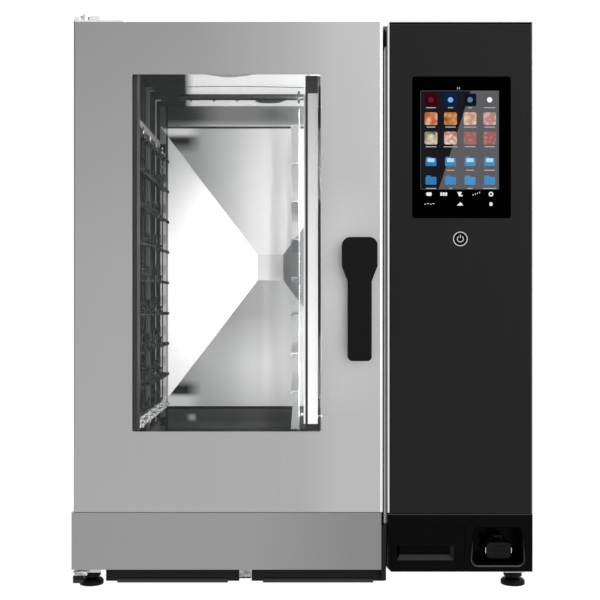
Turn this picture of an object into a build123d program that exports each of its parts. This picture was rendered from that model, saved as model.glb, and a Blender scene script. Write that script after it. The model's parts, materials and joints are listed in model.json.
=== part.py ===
"""Combi steamer oven: side-hinged glass door on the left, control column on the right.

Millimetres. +Z is up, the door faces -Y, and the origin is on the floor at the middle of the footprint.
Each function makes one piece and writes it to its own file.
"""
import os
from math import cos, pi, sin

from build123d import *

# ---- driving dimensions -------------------------------------------------
HALF_WIDTH = 425.0
FACE_Y = -360.0          # outer face of the door and of the control panel
DOOR_BACK_Y = -308.0     # inner face of the closed door
FRAME_Y = -300.0         # face of the plate round the cavity mouth
REAR_Y = 395.0           # outer face of the rear panel
BASE_Z = 36.0            # underside of the casing
TRAY_RIM_Z = 46.0        # top of the bottom tray's rim
BAND_TOP_Z = 141.2       # top of the fixed band under the door
CASE_TOP_Z = 1046.2
SHEET = 1.5              # casing sheet thickness
RUNNING_GAP = 0.05       # radial clearance of a shaft in its hole

# door
DOOR_X = (-421.5, 147.5)
DOOR_Z = (142.2, 1045.4)
WINDOW_X = (-313.0, 34.5)
WINDOW_Z = (290.6, 948.7)
HINGE_X = -404.0
HINGE_Y = -335.0
HINGE_PIN_R = 6.0
HANDLE_X = 103.2         # turning axis of the handle
HANDLE_Z = 616.0
SPINDLE_R = 8.0
BEVEL_X, BEVEL_Y = 3.8, 1.2   # shallow bevel of the door's right edge

# cavity
CAVITY_X = (-349.0, 193.0)
CAVITY_Y = (-298.0, 300.0)
CAVITY_Z = (216.0, 1011.0)
MOUTH_X = (-345.0, 68.0)
MOUTH_Z = (220.0, 1007.0)
PYRAMID_SIZE = (540.0, 692.0)
PYRAMID_CORE = 64.0
PYRAMID_DEPTH = 30.0
CAVITY_MID_X = (CAVITY_X[0] + CAVITY_X[1]) / 2
CAVITY_MID_Z = 614.0     # middle of the pressed rear wall

# racks
LEVELS = 9
LEVEL_PITCH = 73.0
FIRST_LEVEL_Z = 284.0
RACK_Y = (-275.0, 250.0)
LEFT_WEB_X = -336.0
RIGHT_WEB_X = -5.5
LEDGE_WIDTH = 16.0
LEDGE_GAP = 0.05         # from the web to its ledges, so that each is a solid of its own
RACK_TOP_Z = 900.0
RACK_BOTTOM_Z = 262.0

# fan
FAN_Y = 0.0
FAN_Z = 608.0
FAN_R = 138.0
FAN_X = (62.0, 127.0)
SHAFT_R = 9.5
MOTOR_X = (224.0, 380.0)
BAFFLE_X = 12.0

# control column
COLUMN_X = 157.0
PANEL_X = (161.2, 422.0)
PANEL_Z = (139.2, 1041.7)
SCREEN_X = (203.1, 384.1)
SCREEN_Z = (684.1, 944.4)
BUTTON_X = 291.3
BUTTON_Z = 645.5
BUTTON_R = 14.0
DRAWER_X = (163.6, 299.9)
DRAWER_Z = (35.8, 116.2)
PULL_X = (174.0, 280.0)
PULL_Z = (52.6, 81.6)     # finger pull at the drawer's face
PULL_FLOOR_X = (180.5, 274.0)
PULL_FLOOR_Z = (61.5, 79.8)
PULL_DEPTH = 12.0
RECESS_X = (312.5, 409.5)
RECESS_Z = (43.5, 112.5)
RECESS_LEAN = 4.5        # the recess narrows upwards by this much on each side
SHOWER_X = 363.7
SHOWER_Z = 69.0
HOSE_R = 6.5
REEL_R = 60.0
REEL_Y = -140.0
REEL_Z = SHOWER_Z + REEL_R

# feet
FOOT_X = 396.0
FOOT_Y = (-318.0, 340.0)
FOOT_SPINDLE_R = 8.0
LOCKNUT_R = 17.0
LOCKNUT_Z = (15.5, 24.4)
NUT_PLATE_Z = 25.0

# plinth bars under the band
PLINTH_BARS_X = ((-364.0, -117.0), (-94.0, 153.0))
PLINTH_BOTTOM_Z = 11.7
LIP_Z = (9.1, 15.5)      # turned-out lip along each bar
LIP_INSET = 21.0         # from each end of its bar

# services at the back
FLUE_X, FLUE_Y, FLUE_R = -79.0, 240.0, 35.0
FLUE_TOP_Z = 1100.0
VENT_X, VENT_R = 60.0, 20.0
VENT_TOP_Z = 1092.0
FLAP_Z = 1070.0
DRAIN_R = 25.0
DRAIN_Z = 110.0
INLET_X = (300.0, 345.0)
INLET_Z = 150.0
INLET_R = 13.2
GLAND_X, GLAND_Z, GLAND_R = 230.0, 150.0, 16.0
STUD_X, STUD_Z, STUD_R = -350.0, 90.0, 3.0
SERVICE_END_Y = 417.5

os.makedirs("parts", exist_ok=True)


def block(x, y, z, mode=Mode.ADD):
    """A box between two corners, each axis given as (low, high)."""
    with Locations((x[0], y[0], z[0])):
        Box(x[1] - x[0], y[1] - y[0], z[1] - z[0], align=(Align.MIN, Align.MIN, Align.MIN), mode=mode)


TURN = {"X": (0, 90, 0), "Y": (-90, 0, 0), "Z": (0, 0, 0)}


def rod(start, axis, radius, length, mode=Mode.ADD):
    """A round bar from a start point along +X, +Y or +Z."""
    with Locations(Location(start, TURN[axis])):
        Cylinder(radius, length, align=(Align.CENTER, Align.CENTER, Align.MIN), mode=mode)


def tube(start, axis, outer, inner, length):
    """A round tube from a start point along +X, +Y or +Z."""
    rod(start, axis, outer, length)
    rod(start, axis, inner, length, Mode.SUBTRACT)


def middle(span):
    return (span[0] + span[1]) / 2


def length(span):
    return span[1] - span[0]


def grow(span, by):
    return (span[0] - by, span[1] + by)


def save(piece, label):
    piece.part.label = label
    export_step(piece.part, f"parts/{label}.step")


# ---- base and casing ----------------------------------------------------
def base_frame():
    """Folded bottom tray with a welded nut plate over each foot."""
    with BuildPart() as piece:
        block((-423, 423), (-344.5, 393), (BASE_Z, BASE_Z + 2.5))
        for side in (-1, 1):
            block(sorted((side * 421, side * 423)), (-290, 393), (BASE_Z + 2.5, TRAY_RIM_Z))
        block((-421, 421), (391, 393), (BASE_Z + 2.5, TRAY_RIM_Z))
        for y in FOOT_Y:
            for x in (-FOOT_X, FOOT_X):
                block(grow((x, x), 18.5), grow((y, y), 18.5), (NUT_PLATE_Z, BASE_Z))
                rod((x, y, NUT_PLATE_Z), "Z", FOOT_SPINDLE_R + RUNNING_GAP, 20, Mode.SUBTRACT)
    save(piece, "base_frame")


def front_base_panel():
    """Fixed band under the door, folded back at the top and at its left end."""
    with BuildPart() as piece:
        block((-425, 145.7), (FACE_Y, FACE_Y + SHEET), (BASE_Z + 0.2, BAND_TOP_Z))
        block((-425, 145.7), (FACE_Y + SHEET, FRAME_Y - 2), (BAND_TOP_Z - SHEET, BAND_TOP_Z))
        block((-425, -423.5), (FACE_Y + SHEET, FRAME_Y - 2), (BASE_Z + 0.2, BAND_TOP_Z - SHEET))
        rod((HINGE_X, HINGE_Y, BAND_TOP_Z - 5), "Z", HINGE_PIN_R + 0.5, 10, Mode.SUBTRACT)
    save(piece, "front_base_panel")


def plinth_bars():
    """Two dark bars under the band, each with a turned-out lip, an upright strip and a left corner stop."""
    with BuildPart() as piece:
        for x in PLINTH_BARS_X:
            block(x, (-345, -325), (PLINTH_BOTTOM_Z, BASE_Z - 0.3))
            block(grow(x, -LIP_INSET), (-347, -328), LIP_Z)
        block((-423, -406), (-357, -345), (10.5, 23.3))
        block((146, 154.8), (-358, -345), (16, 118))
    save(piece, "plinth_bars")


def front_brackets():
    """Small steel brackets under the front edge: one between the bars, one at the left corner."""
    with BuildPart() as piece:
        block((-116.6, -94.4), (-345, -343), (19, BASE_Z))
        block((-116.6, -94.4), (-343, -325), (BASE_Z - 2, BASE_Z))
        block((-423, -397), (-358, -343), (25, 32))
        block((-423, -397), (-344.5, -343), (32, BASE_Z))
    save(piece, "front_brackets")


def side_panel(side, front_y, label):
    """Outer side wall with a top and a rear flange, and a field of louvre slots low at the back."""
    outer = side * HALF_WIDTH
    inner = side * (HALF_WIDTH - SHEET)
    flange = side * (HALF_WIDTH - 16)
    with BuildPart() as piece:
        block(sorted((outer, inner)), (FRAME_Y, REAR_Y), (BASE_Z + 0.2, CASE_TOP_Z - SHEET))
        if front_y < FRAME_Y:
            block(sorted((outer, inner)), (front_y, FRAME_Y), (PANEL_Z[0], CASE_TOP_Z - SHEET))
        block(sorted((inner, flange)), (FRAME_Y + 10, REAR_Y - 15), (CASE_TOP_Z - 3, CASE_TOP_Z - SHEET))
        with Locations(Location((outer, 250, 190))):
            with GridLocations(0, 130, 1, 2):
                with Locations((0, 0, 0), (0, 0, 20), (0, 0, 40), (0, 0, 60), (0, 0, 80)):
                    Box(10, 90, 6, mode=Mode.SUBTRACT)
    save(piece, label)


def rear_panel():
    """Back wall with louvre slots, a hole for each service, and the earth bonding stud."""
    inside = (REAR_Y - SHEET, REAR_Y)
    with BuildPart() as piece:
        block((-423.3, 423.3), inside, (BASE_Z + 25, CASE_TOP_Z - 2))
        with Locations(*[(290, REAR_Y, 850 + 14 * row) for row in range(8)]):
            Box(110, 10, 6, mode=Mode.SUBTRACT)
        with Locations(*[(290, REAR_Y, 420 + 14 * row) for row in range(8)]):
            Box(110, 10, 6, mode=Mode.SUBTRACT)
        rod((CAVITY_MID_X, REAR_Y - 5, DRAIN_Z), "Y", DRAIN_R + 2, 10, Mode.SUBTRACT)
        rod((GLAND_X, REAR_Y - 5, GLAND_Z), "Y", 12.5, 10, Mode.SUBTRACT)
        for x in INLET_X:
            rod((x, REAR_Y - 5, INLET_Z), "Y", INLET_R + 1.2, 10, Mode.SUBTRACT)
        rod((STUD_X, REAR_Y - SHEET, STUD_Z), "Y", STUD_R, 22)
        rod((STUD_X, REAR_Y, STUD_Z), "Y", 6, 4)
    save(piece, "rear_panel")


def top_panel():
    """Lid of the casing with the flue and vent holes."""
    with BuildPart() as piece:
        block((-HALF_WIDTH, HALF_WIDTH), (FRAME_Y, REAR_Y), (CASE_TOP_Z - SHEET, CASE_TOP_Z))
        block((COLUMN_X + 4, HALF_WIDTH), (FACE_Y + 2, FRAME_Y), (CASE_TOP_Z - SHEET, CASE_TOP_Z))
        rod((FLUE_X, FLUE_Y, CASE_TOP_Z - 5), "Z", FLUE_R + 1, 10, Mode.SUBTRACT)
        rod((VENT_X, FLUE_Y, CASE_TOP_Z - 5), "Z", VENT_R + 1, 10, Mode.SUBTRACT)
    save(piece, "top_panel")


def front_frame():
    """Plate round the cavity mouth, and the strike plate of the latch screwed to it."""
    with BuildPart() as piece:
        block((-423.3, COLUMN_X), (FRAME_Y, FRAME_Y + 2), (BAND_TOP_Z - 2, CASE_TOP_Z - SHEET))
        with BuildSketch(Plane.XZ.offset(-FRAME_Y - 3)):
            with Locations((middle(MOUTH_X), middle(MOUTH_Z))):
                RectangleRounded(length(MOUTH_X), length(MOUTH_Z), 22)
        extrude(amount=6, mode=Mode.SUBTRACT)
        strike_y = FRAME_Y - 0.05
        block((132, 148), (strike_y - 2, strike_y), (HANDLE_Z - 36, HANDLE_Z + 36))
        block((136, 146), (strike_y - 6.5, strike_y - 2), (HANDLE_Z - 14, HANDLE_Z + 14))
    save(piece, "front_frame")


# ---- cavity -------------------------------------------------------------
def cavity_liner():
    """Welded liner: floor, ceiling, both side walls, and two studs for the left rack."""
    with BuildPart() as piece:
        block(grow(CAVITY_X, SHEET), CAVITY_Y, grow(CAVITY_Z, SHEET))
        block(CAVITY_X, grow(CAVITY_Y, 5), CAVITY_Z, Mode.SUBTRACT)
        rod((CAVITY_X[1] - 5, FAN_Y, FAN_Z), "X", 20, 10, Mode.SUBTRACT)
        rod((CAVITY_MID_X, 0, CAVITY_Z[0] - 5), "Z", DRAIN_R - 3, 10, Mode.SUBTRACT)
        rod((FLUE_X, FLUE_Y, CAVITY_Z[1] - 5), "Z", FLUE_R - 1.5, 10, Mode.SUBTRACT)
        rod((VENT_X, FLUE_Y, CAVITY_Z[1] - 5), "Z", VENT_R - 1.5, 10, Mode.SUBTRACT)
        rod((CAVITY_X[1] - 5, 250, 560), "X", 12.5, 10, Mode.SUBTRACT)
        for y in (-270, 240):
            rod((CAVITY_X[0], y, RACK_BOTTOM_Z - 6.5), "X", 6, 15)
    save(piece, "cavity_liner")


def pyramid(start_y):
    """Blunt four-sided pyramid that deepens towards the back, from a start plane."""
    sketch_plane = Plane.XZ.offset(-start_y)
    deep_plane = Plane.XZ.offset(-start_y - PYRAMID_DEPTH)
    with BuildPart() as solid:
        with BuildSketch(sketch_plane):
            with Locations((CAVITY_MID_X, CAVITY_MID_Z)):
                Rectangle(*PYRAMID_SIZE)
        with BuildSketch(deep_plane):
            with Locations((CAVITY_MID_X, CAVITY_MID_Z)):
                Rectangle(PYRAMID_CORE, PYRAMID_CORE)
        loft()
    return solid.part


def cavity_rear_panel():
    """Rear wall of the cavity, pressed as one blunt pyramid with a small flat core."""
    wall_y = CAVITY_Y[1]
    outside = pyramid(wall_y + SHEET)
    inside = pyramid(wall_y)
    with BuildPart() as piece:
        block(CAVITY_X, (wall_y, wall_y + SHEET), CAVITY_Z)
        add(outside)
        add(inside, mode=Mode.SUBTRACT)
    save(piece, "cavity_rear_panel")


def insulation():
    """Mineral wool slabs on the left, right, top, bottom and back of the liner."""
    gap = SHEET + 0.5
    x = grow(CAVITY_X, gap)
    z = grow(CAVITY_Z, gap)
    y = (CAVITY_Y[0] + 8, CAVITY_Y[1])
    thick = 20
    with BuildPart() as piece:
        block((x[0] - 40, x[0]), y, z)
        block((x[1], x[1] + thick), y, z)
        block((x[0] - 40, x[1] + thick), y, (z[1], z[1] + thick))
        block((x[0] - 40, x[1] + thick), y, (z[0] - 30, z[0]))
        block(x, (340, 370), z)
        rod((x[1] - 5, FAN_Y, FAN_Z), "X", 30, 40, Mode.SUBTRACT)
        rod((x[1] - 5, 250, 560), "X", 16, 40, Mode.SUBTRACT)
        rod((CAVITY_MID_X, 0, z[0] - 40), "Z", DRAIN_R + 3, 60, Mode.SUBTRACT)
        rod((FLUE_X, FLUE_Y, z[1] - 5), "Z", FLUE_R + 2, 60, Mode.SUBTRACT)
        rod((VENT_X, FLUE_Y, z[1] - 5), "Z", VENT_R + 2, 60, Mode.SUBTRACT)
    save(piece, "insulation")


def door_gasket():
    """Soft seal on the face round the mouth."""
    with BuildPart() as piece:
        with BuildSketch(Plane.XZ.offset(-FRAME_Y)):
            with Locations((middle(MOUTH_X), middle(MOUTH_Z))):
                RectangleRounded(length(MOUTH_X) + 24, length(MOUTH_Z) + 24, 32)
                RectangleRounded(length(MOUTH_X) + 4, length(MOUTH_Z) + 4, 24, mode=Mode.SUBTRACT)
        extrude(amount=7.2)
        front = piece.faces().sort_by(Axis.Y)[0]
        fillet(front.edges(), radius=3)
    save(piece, "door_gasket")


def air_baffle():
    """Plate between the trays and the fan: a round suction grille and air slots near both edges."""
    y = (-286, 290)
    with BuildPart() as piece:
        block((BAFFLE_X, BAFFLE_X + SHEET), y, (CAVITY_Z[0] + 6, CAVITY_Z[1] - 8))
        for edge_y in (-262, 266):
            with Locations(*[(BAFFLE_X, edge_y, 290 + 80 * row) for row in range(9)]):
                Box(10, 14, 60, mode=Mode.SUBTRACT)
        with BuildSketch(Plane.YZ.offset(BAFFLE_X - 5)):
            with Locations((FAN_Y, FAN_Z)):
                for radius, count in ((28, 6), (54, 12), (80, 18)):
                    with PolarLocations(radius, count):
                        Circle(8.5)
        extrude(amount=12, mode=Mode.SUBTRACT)
        for pin_y in (-200, 200):
            for pin_z in (300, 920):
                rod((BAFFLE_X + SHEET, pin_y, pin_z), "X", 5, CAVITY_X[1] - BAFFLE_X - SHEET)
        for y in (-270, 240):
            rod((-8, y, RACK_BOTTOM_Z - 6.5), "X", 6, 20)
    save(piece, "air_baffle")


def rack(web_x, ledge_side, label):
    """Side rack: a web of posts and slotted runners, and a ledge per level towards the trays."""
    depth = length(RACK_Y)
    levels = [FIRST_LEVEL_Z + LEVEL_PITCH * level for level in range(LEVELS)]
    posts = [RACK_Y[0] + 5 + index * (depth - 10) / 5 for index in range(6)]
    ledge_start = web_x + ledge_side * (SHEET / 2 + LEDGE_GAP)
    ledge_x = sorted((ledge_start, web_x + ledge_side * LEDGE_WIDTH))
    with BuildPart() as piece:
        with BuildSketch(Plane.YZ.offset(web_x - SHEET / 2)):
            for post_y in posts:
                with Locations((post_y, (RACK_TOP_Z + RACK_BOTTOM_Z) / 2)):
                    Rectangle(9, RACK_TOP_Z - RACK_BOTTOM_Z)
            for level_z in levels:
                with Locations((middle(RACK_Y), level_z + 8)):
                    Rectangle(depth, 16)
                    with GridLocations(depth / 15, 0, 15, 1):
                        SlotOverall(24, 6, mode=Mode.SUBTRACT)
        extrude(amount=SHEET)
        for level_z in levels:
            block(ledge_x, RACK_Y, (level_z, level_z + SHEET))
            lip_x = web_x + ledge_side * (LEDGE_WIDTH - SHEET)
            block(sorted((lip_x, web_x + ledge_side * LEDGE_WIDTH)), RACK_Y, (level_z - 5, level_z))
    save(piece, label)


def heating_element():
    """Three round elements about the fan, joined to three straight tails through the right wall."""
    ring = 165
    tail_y = FAN_Y - ring
    with BuildPart() as piece:
        for index, x in enumerate((72, 94, 116)):
            radius = ring + 12 * index - 12
            with Locations(Location((x, FAN_Y, FAN_Z), (0, 90, 0))):
                Torus(radius, 4.2)
            rod((x, FAN_Y - radius, FAN_Z), "X", 4.2, CAVITY_X[1] - x)
    save(piece, "heating_element")


def fan_wheel():
    """Radial fan wheel: back disc, blades, front ring, hub and shaft."""
    blades = 24
    with BuildPart() as piece:
        rod((FAN_X[1] - 2, FAN_Y, FAN_Z), "X", FAN_R, 2)
        rod((FAN_X[0] + 33, FAN_Y, FAN_Z), "X", 22, 46)
        rod((FAN_X[1], FAN_Y, FAN_Z), "X", SHAFT_R, 155)
        with Locations(Location((FAN_X[0], FAN_Y, FAN_Z), TURN["X"])):
            with PolarLocations((FAN_R + 92) / 2, blades):
                Box(FAN_R - 94, 2, length(FAN_X), align=(Align.CENTER, Align.CENTER, Align.MIN))
        with BuildSketch(Plane.YZ.offset(FAN_X[0])):
            with Locations((FAN_Y, FAN_Z)):
                Circle(FAN_R)
                Circle(FAN_R - 16, mode=Mode.SUBTRACT)
        extrude(amount=2)
    save(piece, "fan_wheel")


def fan_motor():
    """Round motor with cooling ribs, a terminal box and its square mounting flange."""
    with BuildPart() as piece:
        rod((MOTOR_X[0], FAN_Y, FAN_Z), "X", 66, length(MOTOR_X))
        for index in range(18):
            turn = 2 * pi * index / 18
            with Locations(Location((302, FAN_Y + 68 * cos(turn), FAN_Z + 68 * sin(turn)), (turn * 180 / pi, 0, 0))):
                Box(110, 12, 2.5)
        block((265, 335), (-28, 28), (FAN_Z + 62, FAN_Z + 92))
        rod((MOTOR_X[0], FAN_Y, FAN_Z), "X", SHAFT_R + RUNNING_GAP, 66, Mode.SUBTRACT)
        rod((MOTOR_X[1], FAN_Y, FAN_Z), "X", 56, 14)
        block((217, MOTOR_X[0]), (-95, 95), (FAN_Z - 95, FAN_Z + 95))
        rod((210, FAN_Y, FAN_Z), "X", 14, 14, Mode.SUBTRACT)
        for y in (-82, 82):
            for z in (-82, 82):
                rod((MOTOR_X[0], y, FAN_Z + z), "X", 6, 5)
    save(piece, "fan_motor")


def spray_bar():
    """Straight spray bar under the ceiling, held by a flange on the baffle."""
    with BuildPart() as piece:
        rod((-265, -18, 972), "X", 6.7, 265 + BAFFLE_X)
        rod((-9, -18, 972), "X", 13, 5)
        for x in (-240, -190, -140, -90, -40):
            rod((x, -18, 963), "Z", 2.2, 5)
    save(piece, "spray_bar")


def ceiling_boss():
    """Round stepped boss on the ceiling."""
    with BuildPart() as piece:
        rod((-146, -213, 988), "Z", 62, CAVITY_Z[1] - 988)
        rod((-146, -213, 980), "Z", 30, 8)
    save(piece, "ceiling_boss")


def drain_grate():
    """Round slotted grate over the drain."""
    with BuildPart() as piece:
        rod((CAVITY_MID_X, 0, CAVITY_Z[0]), "Z", 40, 2)
        with Locations(*[(CAVITY_MID_X + 10 * step, 0, CAVITY_Z[0]) for step in (-2, -1, 0, 1, 2)]):
            Box(4, 44, 10, mode=Mode.SUBTRACT)
    save(piece, "drain_grate")


def drain_pipe():
    """Drain from the cavity floor, down and back to the outlet behind the oven."""
    bend = 60
    top_z = CAVITY_Z[0] - SHEET
    with BuildPart() as piece:
        with BuildLine() as route:
            FilletPolyline(
                (CAVITY_MID_X, 0, top_z),
                (CAVITY_MID_X, 0, DRAIN_Z),
                (CAVITY_MID_X, SERVICE_END_Y, DRAIN_Z),
                radius=bend,
            )
        with BuildSketch(Plane.XY.offset(top_z)):
            with Locations((CAVITY_MID_X, 0)):
                Circle(DRAIN_R)
                Circle(DRAIN_R - 3, mode=Mode.SUBTRACT)
        sweep(path=route.wires()[0])
    save(piece, "drain_pipe")


def steam_generator():
    """Upright boiler in the back of the column, with its steam pipe up and over to the hot chamber."""
    with BuildPart() as piece:
        rod((310, 250, 190), "Z", 72, 300)
        rod((310, 250, 178), "Z", 50, 12)
        fillet(piece.edges().filter_by(GeomType.CIRCLE).sort_by(Axis.Z)[-1], radius=20)
        rod((310, 250, 490), "Z", 15, 12)
        for side in (-40, 40):
            block((310 + side - 6, 310 + side + 6), (300, 393), (300, 340))
        with BuildLine() as route:
            FilletPolyline((310, 250, 500), (310, 250, 560), (CAVITY_X[1] + SHEET, 250, 560), radius=35)
        with BuildSketch(Plane.XY.offset(500)):
            with Locations((310, 250)):
                Circle(14)
                Circle(12.5, mode=Mode.SUBTRACT)
        sweep(path=route.wires()[0])
    save(piece, "steam_generator")


def water_inlets():
    """Two threaded water inlets, each with its valve body and coil inside the casing."""
    with BuildPart() as piece:
        for x in INLET_X:
            rod((x, 365, INLET_Z), "Y", INLET_R, SERVICE_END_Y - 365)
            block((x - 18, x + 18), (330, 365), (INLET_Z - 18, INLET_Z + 18))
            rod((x, 347, INLET_Z + 18), "Z", 13, 30)
            rod((x, 340, INLET_Z), "Y", 9, 90, Mode.SUBTRACT)
    save(piece, "water_inlets")


def exhaust_flue():
    """Outlet of the cavity through the lid."""
    start = CAVITY_Z[1] + SHEET
    with BuildPart() as piece:
        tube((FLUE_X, FLUE_Y, start), "Z", FLUE_R, FLUE_R - 1.5, FLUE_TOP_Z - start)
    save(piece, "exhaust_flue")


def air_vent_tube():
    """Air inlet of the cavity, closed by a flap on a cross spindle."""
    start = CAVITY_Z[1] + SHEET
    with BuildPart() as piece:
        tube((VENT_X, FLUE_Y, start), "Z", VENT_R, VENT_R - 1.5, VENT_TOP_Z - start)
        rod((VENT_X - 30, FLUE_Y, FLAP_Z), "X", 2.5 + RUNNING_GAP, 60, Mode.SUBTRACT)
    save(piece, "air_vent_tube")


def vent_flap():
    """Round flap on its spindle."""
    with BuildPart() as piece:
        rod((VENT_X, FLUE_Y, FLAP_Z - 0.75), "Z", VENT_R - 2.1, 1.5)
        rod((VENT_X - 24, FLUE_Y, FLAP_Z), "X", 2.5, 64)
    save(piece, "vent_flap")


def damper_motor():
    """Small gear motor that turns the vent flap."""
    with BuildPart() as piece:
        block((VENT_X + 28, VENT_X + 78), (FLUE_Y - 18, FLUE_Y + 18), (CASE_TOP_Z, FLAP_Z + 18))
        fillet(piece.edges().filter_by(Axis.Z), radius=3)
        rod((VENT_X + 20, FLUE_Y, FLAP_Z), "X", 2.5 + RUNNING_GAP, 30, Mode.SUBTRACT)
    save(piece, "damper_motor")


# ---- hinges and latch on the body ---------------------------------------
def hinge_brackets():
    """Upper hinge: plate on the lid, knuckle and pin. Lower hinge: block under the band's fold, and pin."""
    plate_z = (CASE_TOP_Z + 0.1, CASE_TOP_Z + 4.8)
    with BuildPart() as piece:
        block((-424, -327), (-350, -262), plate_z)
        fillet(piece.edges().filter_by(Axis.Z), radius=4)
        block((-395, -376), (-346, -300), (plate_z[1], 1060))
        rod((HINGE_X, HINGE_Y, 1026), "Z", HINGE_PIN_R, 34)
        rod((HINGE_X, HINGE_Y, plate_z[1]), "Z", 8, 8)
        rod((HINGE_X, HINGE_Y, 1060), "Z", 4, 5)
        block((-424, -415), (-346, -322), (plate_z[1], 1058))
        for spot in ((-410, -275), (-340, -275), (-340, -335)):
            rod((spot[0], spot[1], plate_z[1]), "Z", 5, 3)
        block((-421, -388), (-355, -306), (118, BAND_TOP_Z - SHEET))
        rod((HINGE_X, HINGE_Y, 130), "Z", HINGE_PIN_R, 30)
    save(piece, "hinge_brackets")


# ---- control column -----------------------------------------------------
def column_trim():
    """Bright upright profile between the door and the control panel."""
    z = (BAND_TOP_Z, PANEL_Z[1])
    with BuildPart() as piece:
        block((157.4, 160.7), (FACE_Y + 0.5, FRAME_Y), z)
        block((150.6, 157.4), (-343, FRAME_Y), z)
    save(piece, "column_trim")


def control_panel():
    """Front of the column, folded back on all sides, with the screen and button openings."""
    with BuildPart() as piece:
        block(PANEL_X, (FACE_Y, FRAME_Y - 0.5), PANEL_Z)
        fillet(piece.faces().sort_by(Axis.Y)[0].edges(), radius=1.5)
        block(grow(PANEL_X, -2.5), (FACE_Y + 2.5, FRAME_Y + 5), grow(PANEL_Z, -2.5), Mode.SUBTRACT)
        with BuildSketch(Plane.XZ.offset(-FACE_Y - 5)):
            with Locations((middle(SCREEN_X), middle(SCREEN_Z))):
                RectangleRounded(length(SCREEN_X) + 0.8, length(SCREEN_Z) + 0.8, 5.4)
            with Locations((BUTTON_X, BUTTON_Z)):
                Circle(BUTTON_R + 0.4)
        extrude(amount=10, mode=Mode.SUBTRACT)
    save(piece, "control_panel")


def touchscreen_glass():
    with BuildPart() as piece:
        with BuildSketch(Plane.XZ.offset(-FACE_Y - 5)):
            with Locations((middle(SCREEN_X), middle(SCREEN_Z))):
                RectangleRounded(length(SCREEN_X), length(SCREEN_Z), 5)
        extrude(amount=5.4)
    save(piece, "touchscreen_glass")


def panel_electronics():
    """Display with its fixing frame, the main board, and the collar and switch of the power button."""
    with BuildPart() as piece:
        block(grow(SCREEN_X, -3), (FACE_Y + 5, FACE_Y + 22), grow(SCREEN_Z, -3))
        block(grow(SCREEN_X, 8), (FACE_Y + 8, FACE_Y + 11), grow(SCREEN_Z, 8))
        block((215, 372), (-331, -329), (700, 880))
        for x, z, size in ((240, 730, 24), (290, 740, 30), (340, 760, 20), (250, 820, 34), (330, 840, 26)):
            block((x - size / 2, x + size / 2), (-329, -318), (z - size / 2, z + size / 2))
        for x in (222, 365):
            for z in (707, 873):
                rod((x, FACE_Y + 22, z), "Y", 3, 7)
        tube((BUTTON_X, FACE_Y + 2.5, BUTTON_Z), "Y", BUTTON_R + 6, BUTTON_R + 0.4, 14)
        block((BUTTON_X - 12, BUTTON_X + 12), (-338, -324), (BUTTON_Z - 9, BUTTON_Z + 9))
        for side in (-1, 1):
            block(sorted((BUTTON_X + side * 12, BUTTON_X + side * 19)), (-343.5, -336), (BUTTON_Z - 4, BUTTON_Z + 4))
    save(piece, "panel_electronics")


def power_button():
    """Round cap with its stem."""
    with BuildPart() as piece:
        rod((BUTTON_X, FACE_Y - 0.4, BUTTON_Z), "Y", BUTTON_R, 12)
        fillet(piece.faces().sort_by(Axis.Y)[0].edges(), radius=0.6)
        rod((BUTTON_X, FACE_Y + 11.6, BUTTON_Z), "Y", 4, 8)
    save(piece, "power_button")


def column_base():
    """Moulding at the foot of the column: an opening for the drawer and a recess for the hand shower."""
    with BuildPart() as piece:
        block((COLUMN_X, 425), (FACE_Y, FRAME_Y), (31.8, PANEL_Z[0] - 0.6))
        low_left = piece.edges().filter_by(Axis.Y).group_by(Axis.Z)[0].sort_by(Axis.X)[0]
        chamfer(low_left, length=7)
        fillet(piece.faces().sort_by(Axis.Y)[0].edges(), radius=2.5)
        block((COLUMN_X - 1, 426), (-345, FRAME_Y + 1), (30, BASE_Z + 3), Mode.SUBTRACT)
        block((163.1, 300.4), (FACE_Y - 1, FRAME_Y + 1), (35.3, 116.7), Mode.SUBTRACT)
        low, high = RECESS_Z
        left, right = RECESS_X
        with BuildSketch(Plane.XZ.offset(-FRAME_Y + 3)) as recess:
            with BuildLine():
                Polyline(
                    (left, low), (right, low), (right - RECESS_LEAN, high),
                    (left + RECESS_LEAN, high), (left, low),
                )
            make_face()
            fillet(recess.vertices(), radius=11)
        extrude(amount=60, mode=Mode.SUBTRACT)
        rim = piece.faces().sort_by(Axis.Y)[0].inner_wires()
        chamfer(max(rim, key=lambda wire: wire.bounding_box().min.X).edges(), length=2.4)
        rod((SHOWER_X, FRAME_Y - 10, SHOWER_Z), "Y", HOSE_R + 0.4, 12, Mode.SUBTRACT)
    save(piece, "column_base")


def detergent_drawer():
    """Drawer: front with a finger pull, and an open tub for the cleaning agent."""
    with BuildPart() as piece:
        block(DRAWER_X, (FACE_Y, -344.6), DRAWER_Z)
        fillet(piece.faces().sort_by(Axis.Y)[0].edges(), radius=1.2)
        block((168.5, 295), (-344.6, -102), (43, 106))
        block((171.5, 292), (-341.5, -105), (46, 110), Mode.SUBTRACT)
        with BuildSketch(Plane.XZ.offset(-FACE_Y)):
            with Locations((middle(PULL_X), middle(PULL_Z))):
                Rectangle(length(PULL_X), length(PULL_Z))
        with BuildSketch(Plane.XZ.offset(-FACE_Y - PULL_DEPTH)):
            with Locations((middle(PULL_FLOOR_X), middle(PULL_FLOOR_Z))):
                Rectangle(length(PULL_FLOOR_X), length(PULL_FLOOR_Z))
        loft(mode=Mode.SUBTRACT)
    save(piece, "detergent_drawer")


def drawer_rails():
    """Two rails on the bottom tray that carry the drawer."""
    with BuildPart() as piece:
        for wall, ledge in (((162, 167.5), (167.5, 178)), ((296, 301.5), (285.5, 296))):
            block(wall, (-298, -95), (BASE_Z + 2.5, 62))
            block(ledge, (-298, -95), (BASE_Z + 2.5, 42.5))
    save(piece, "drawer_rails")


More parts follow.
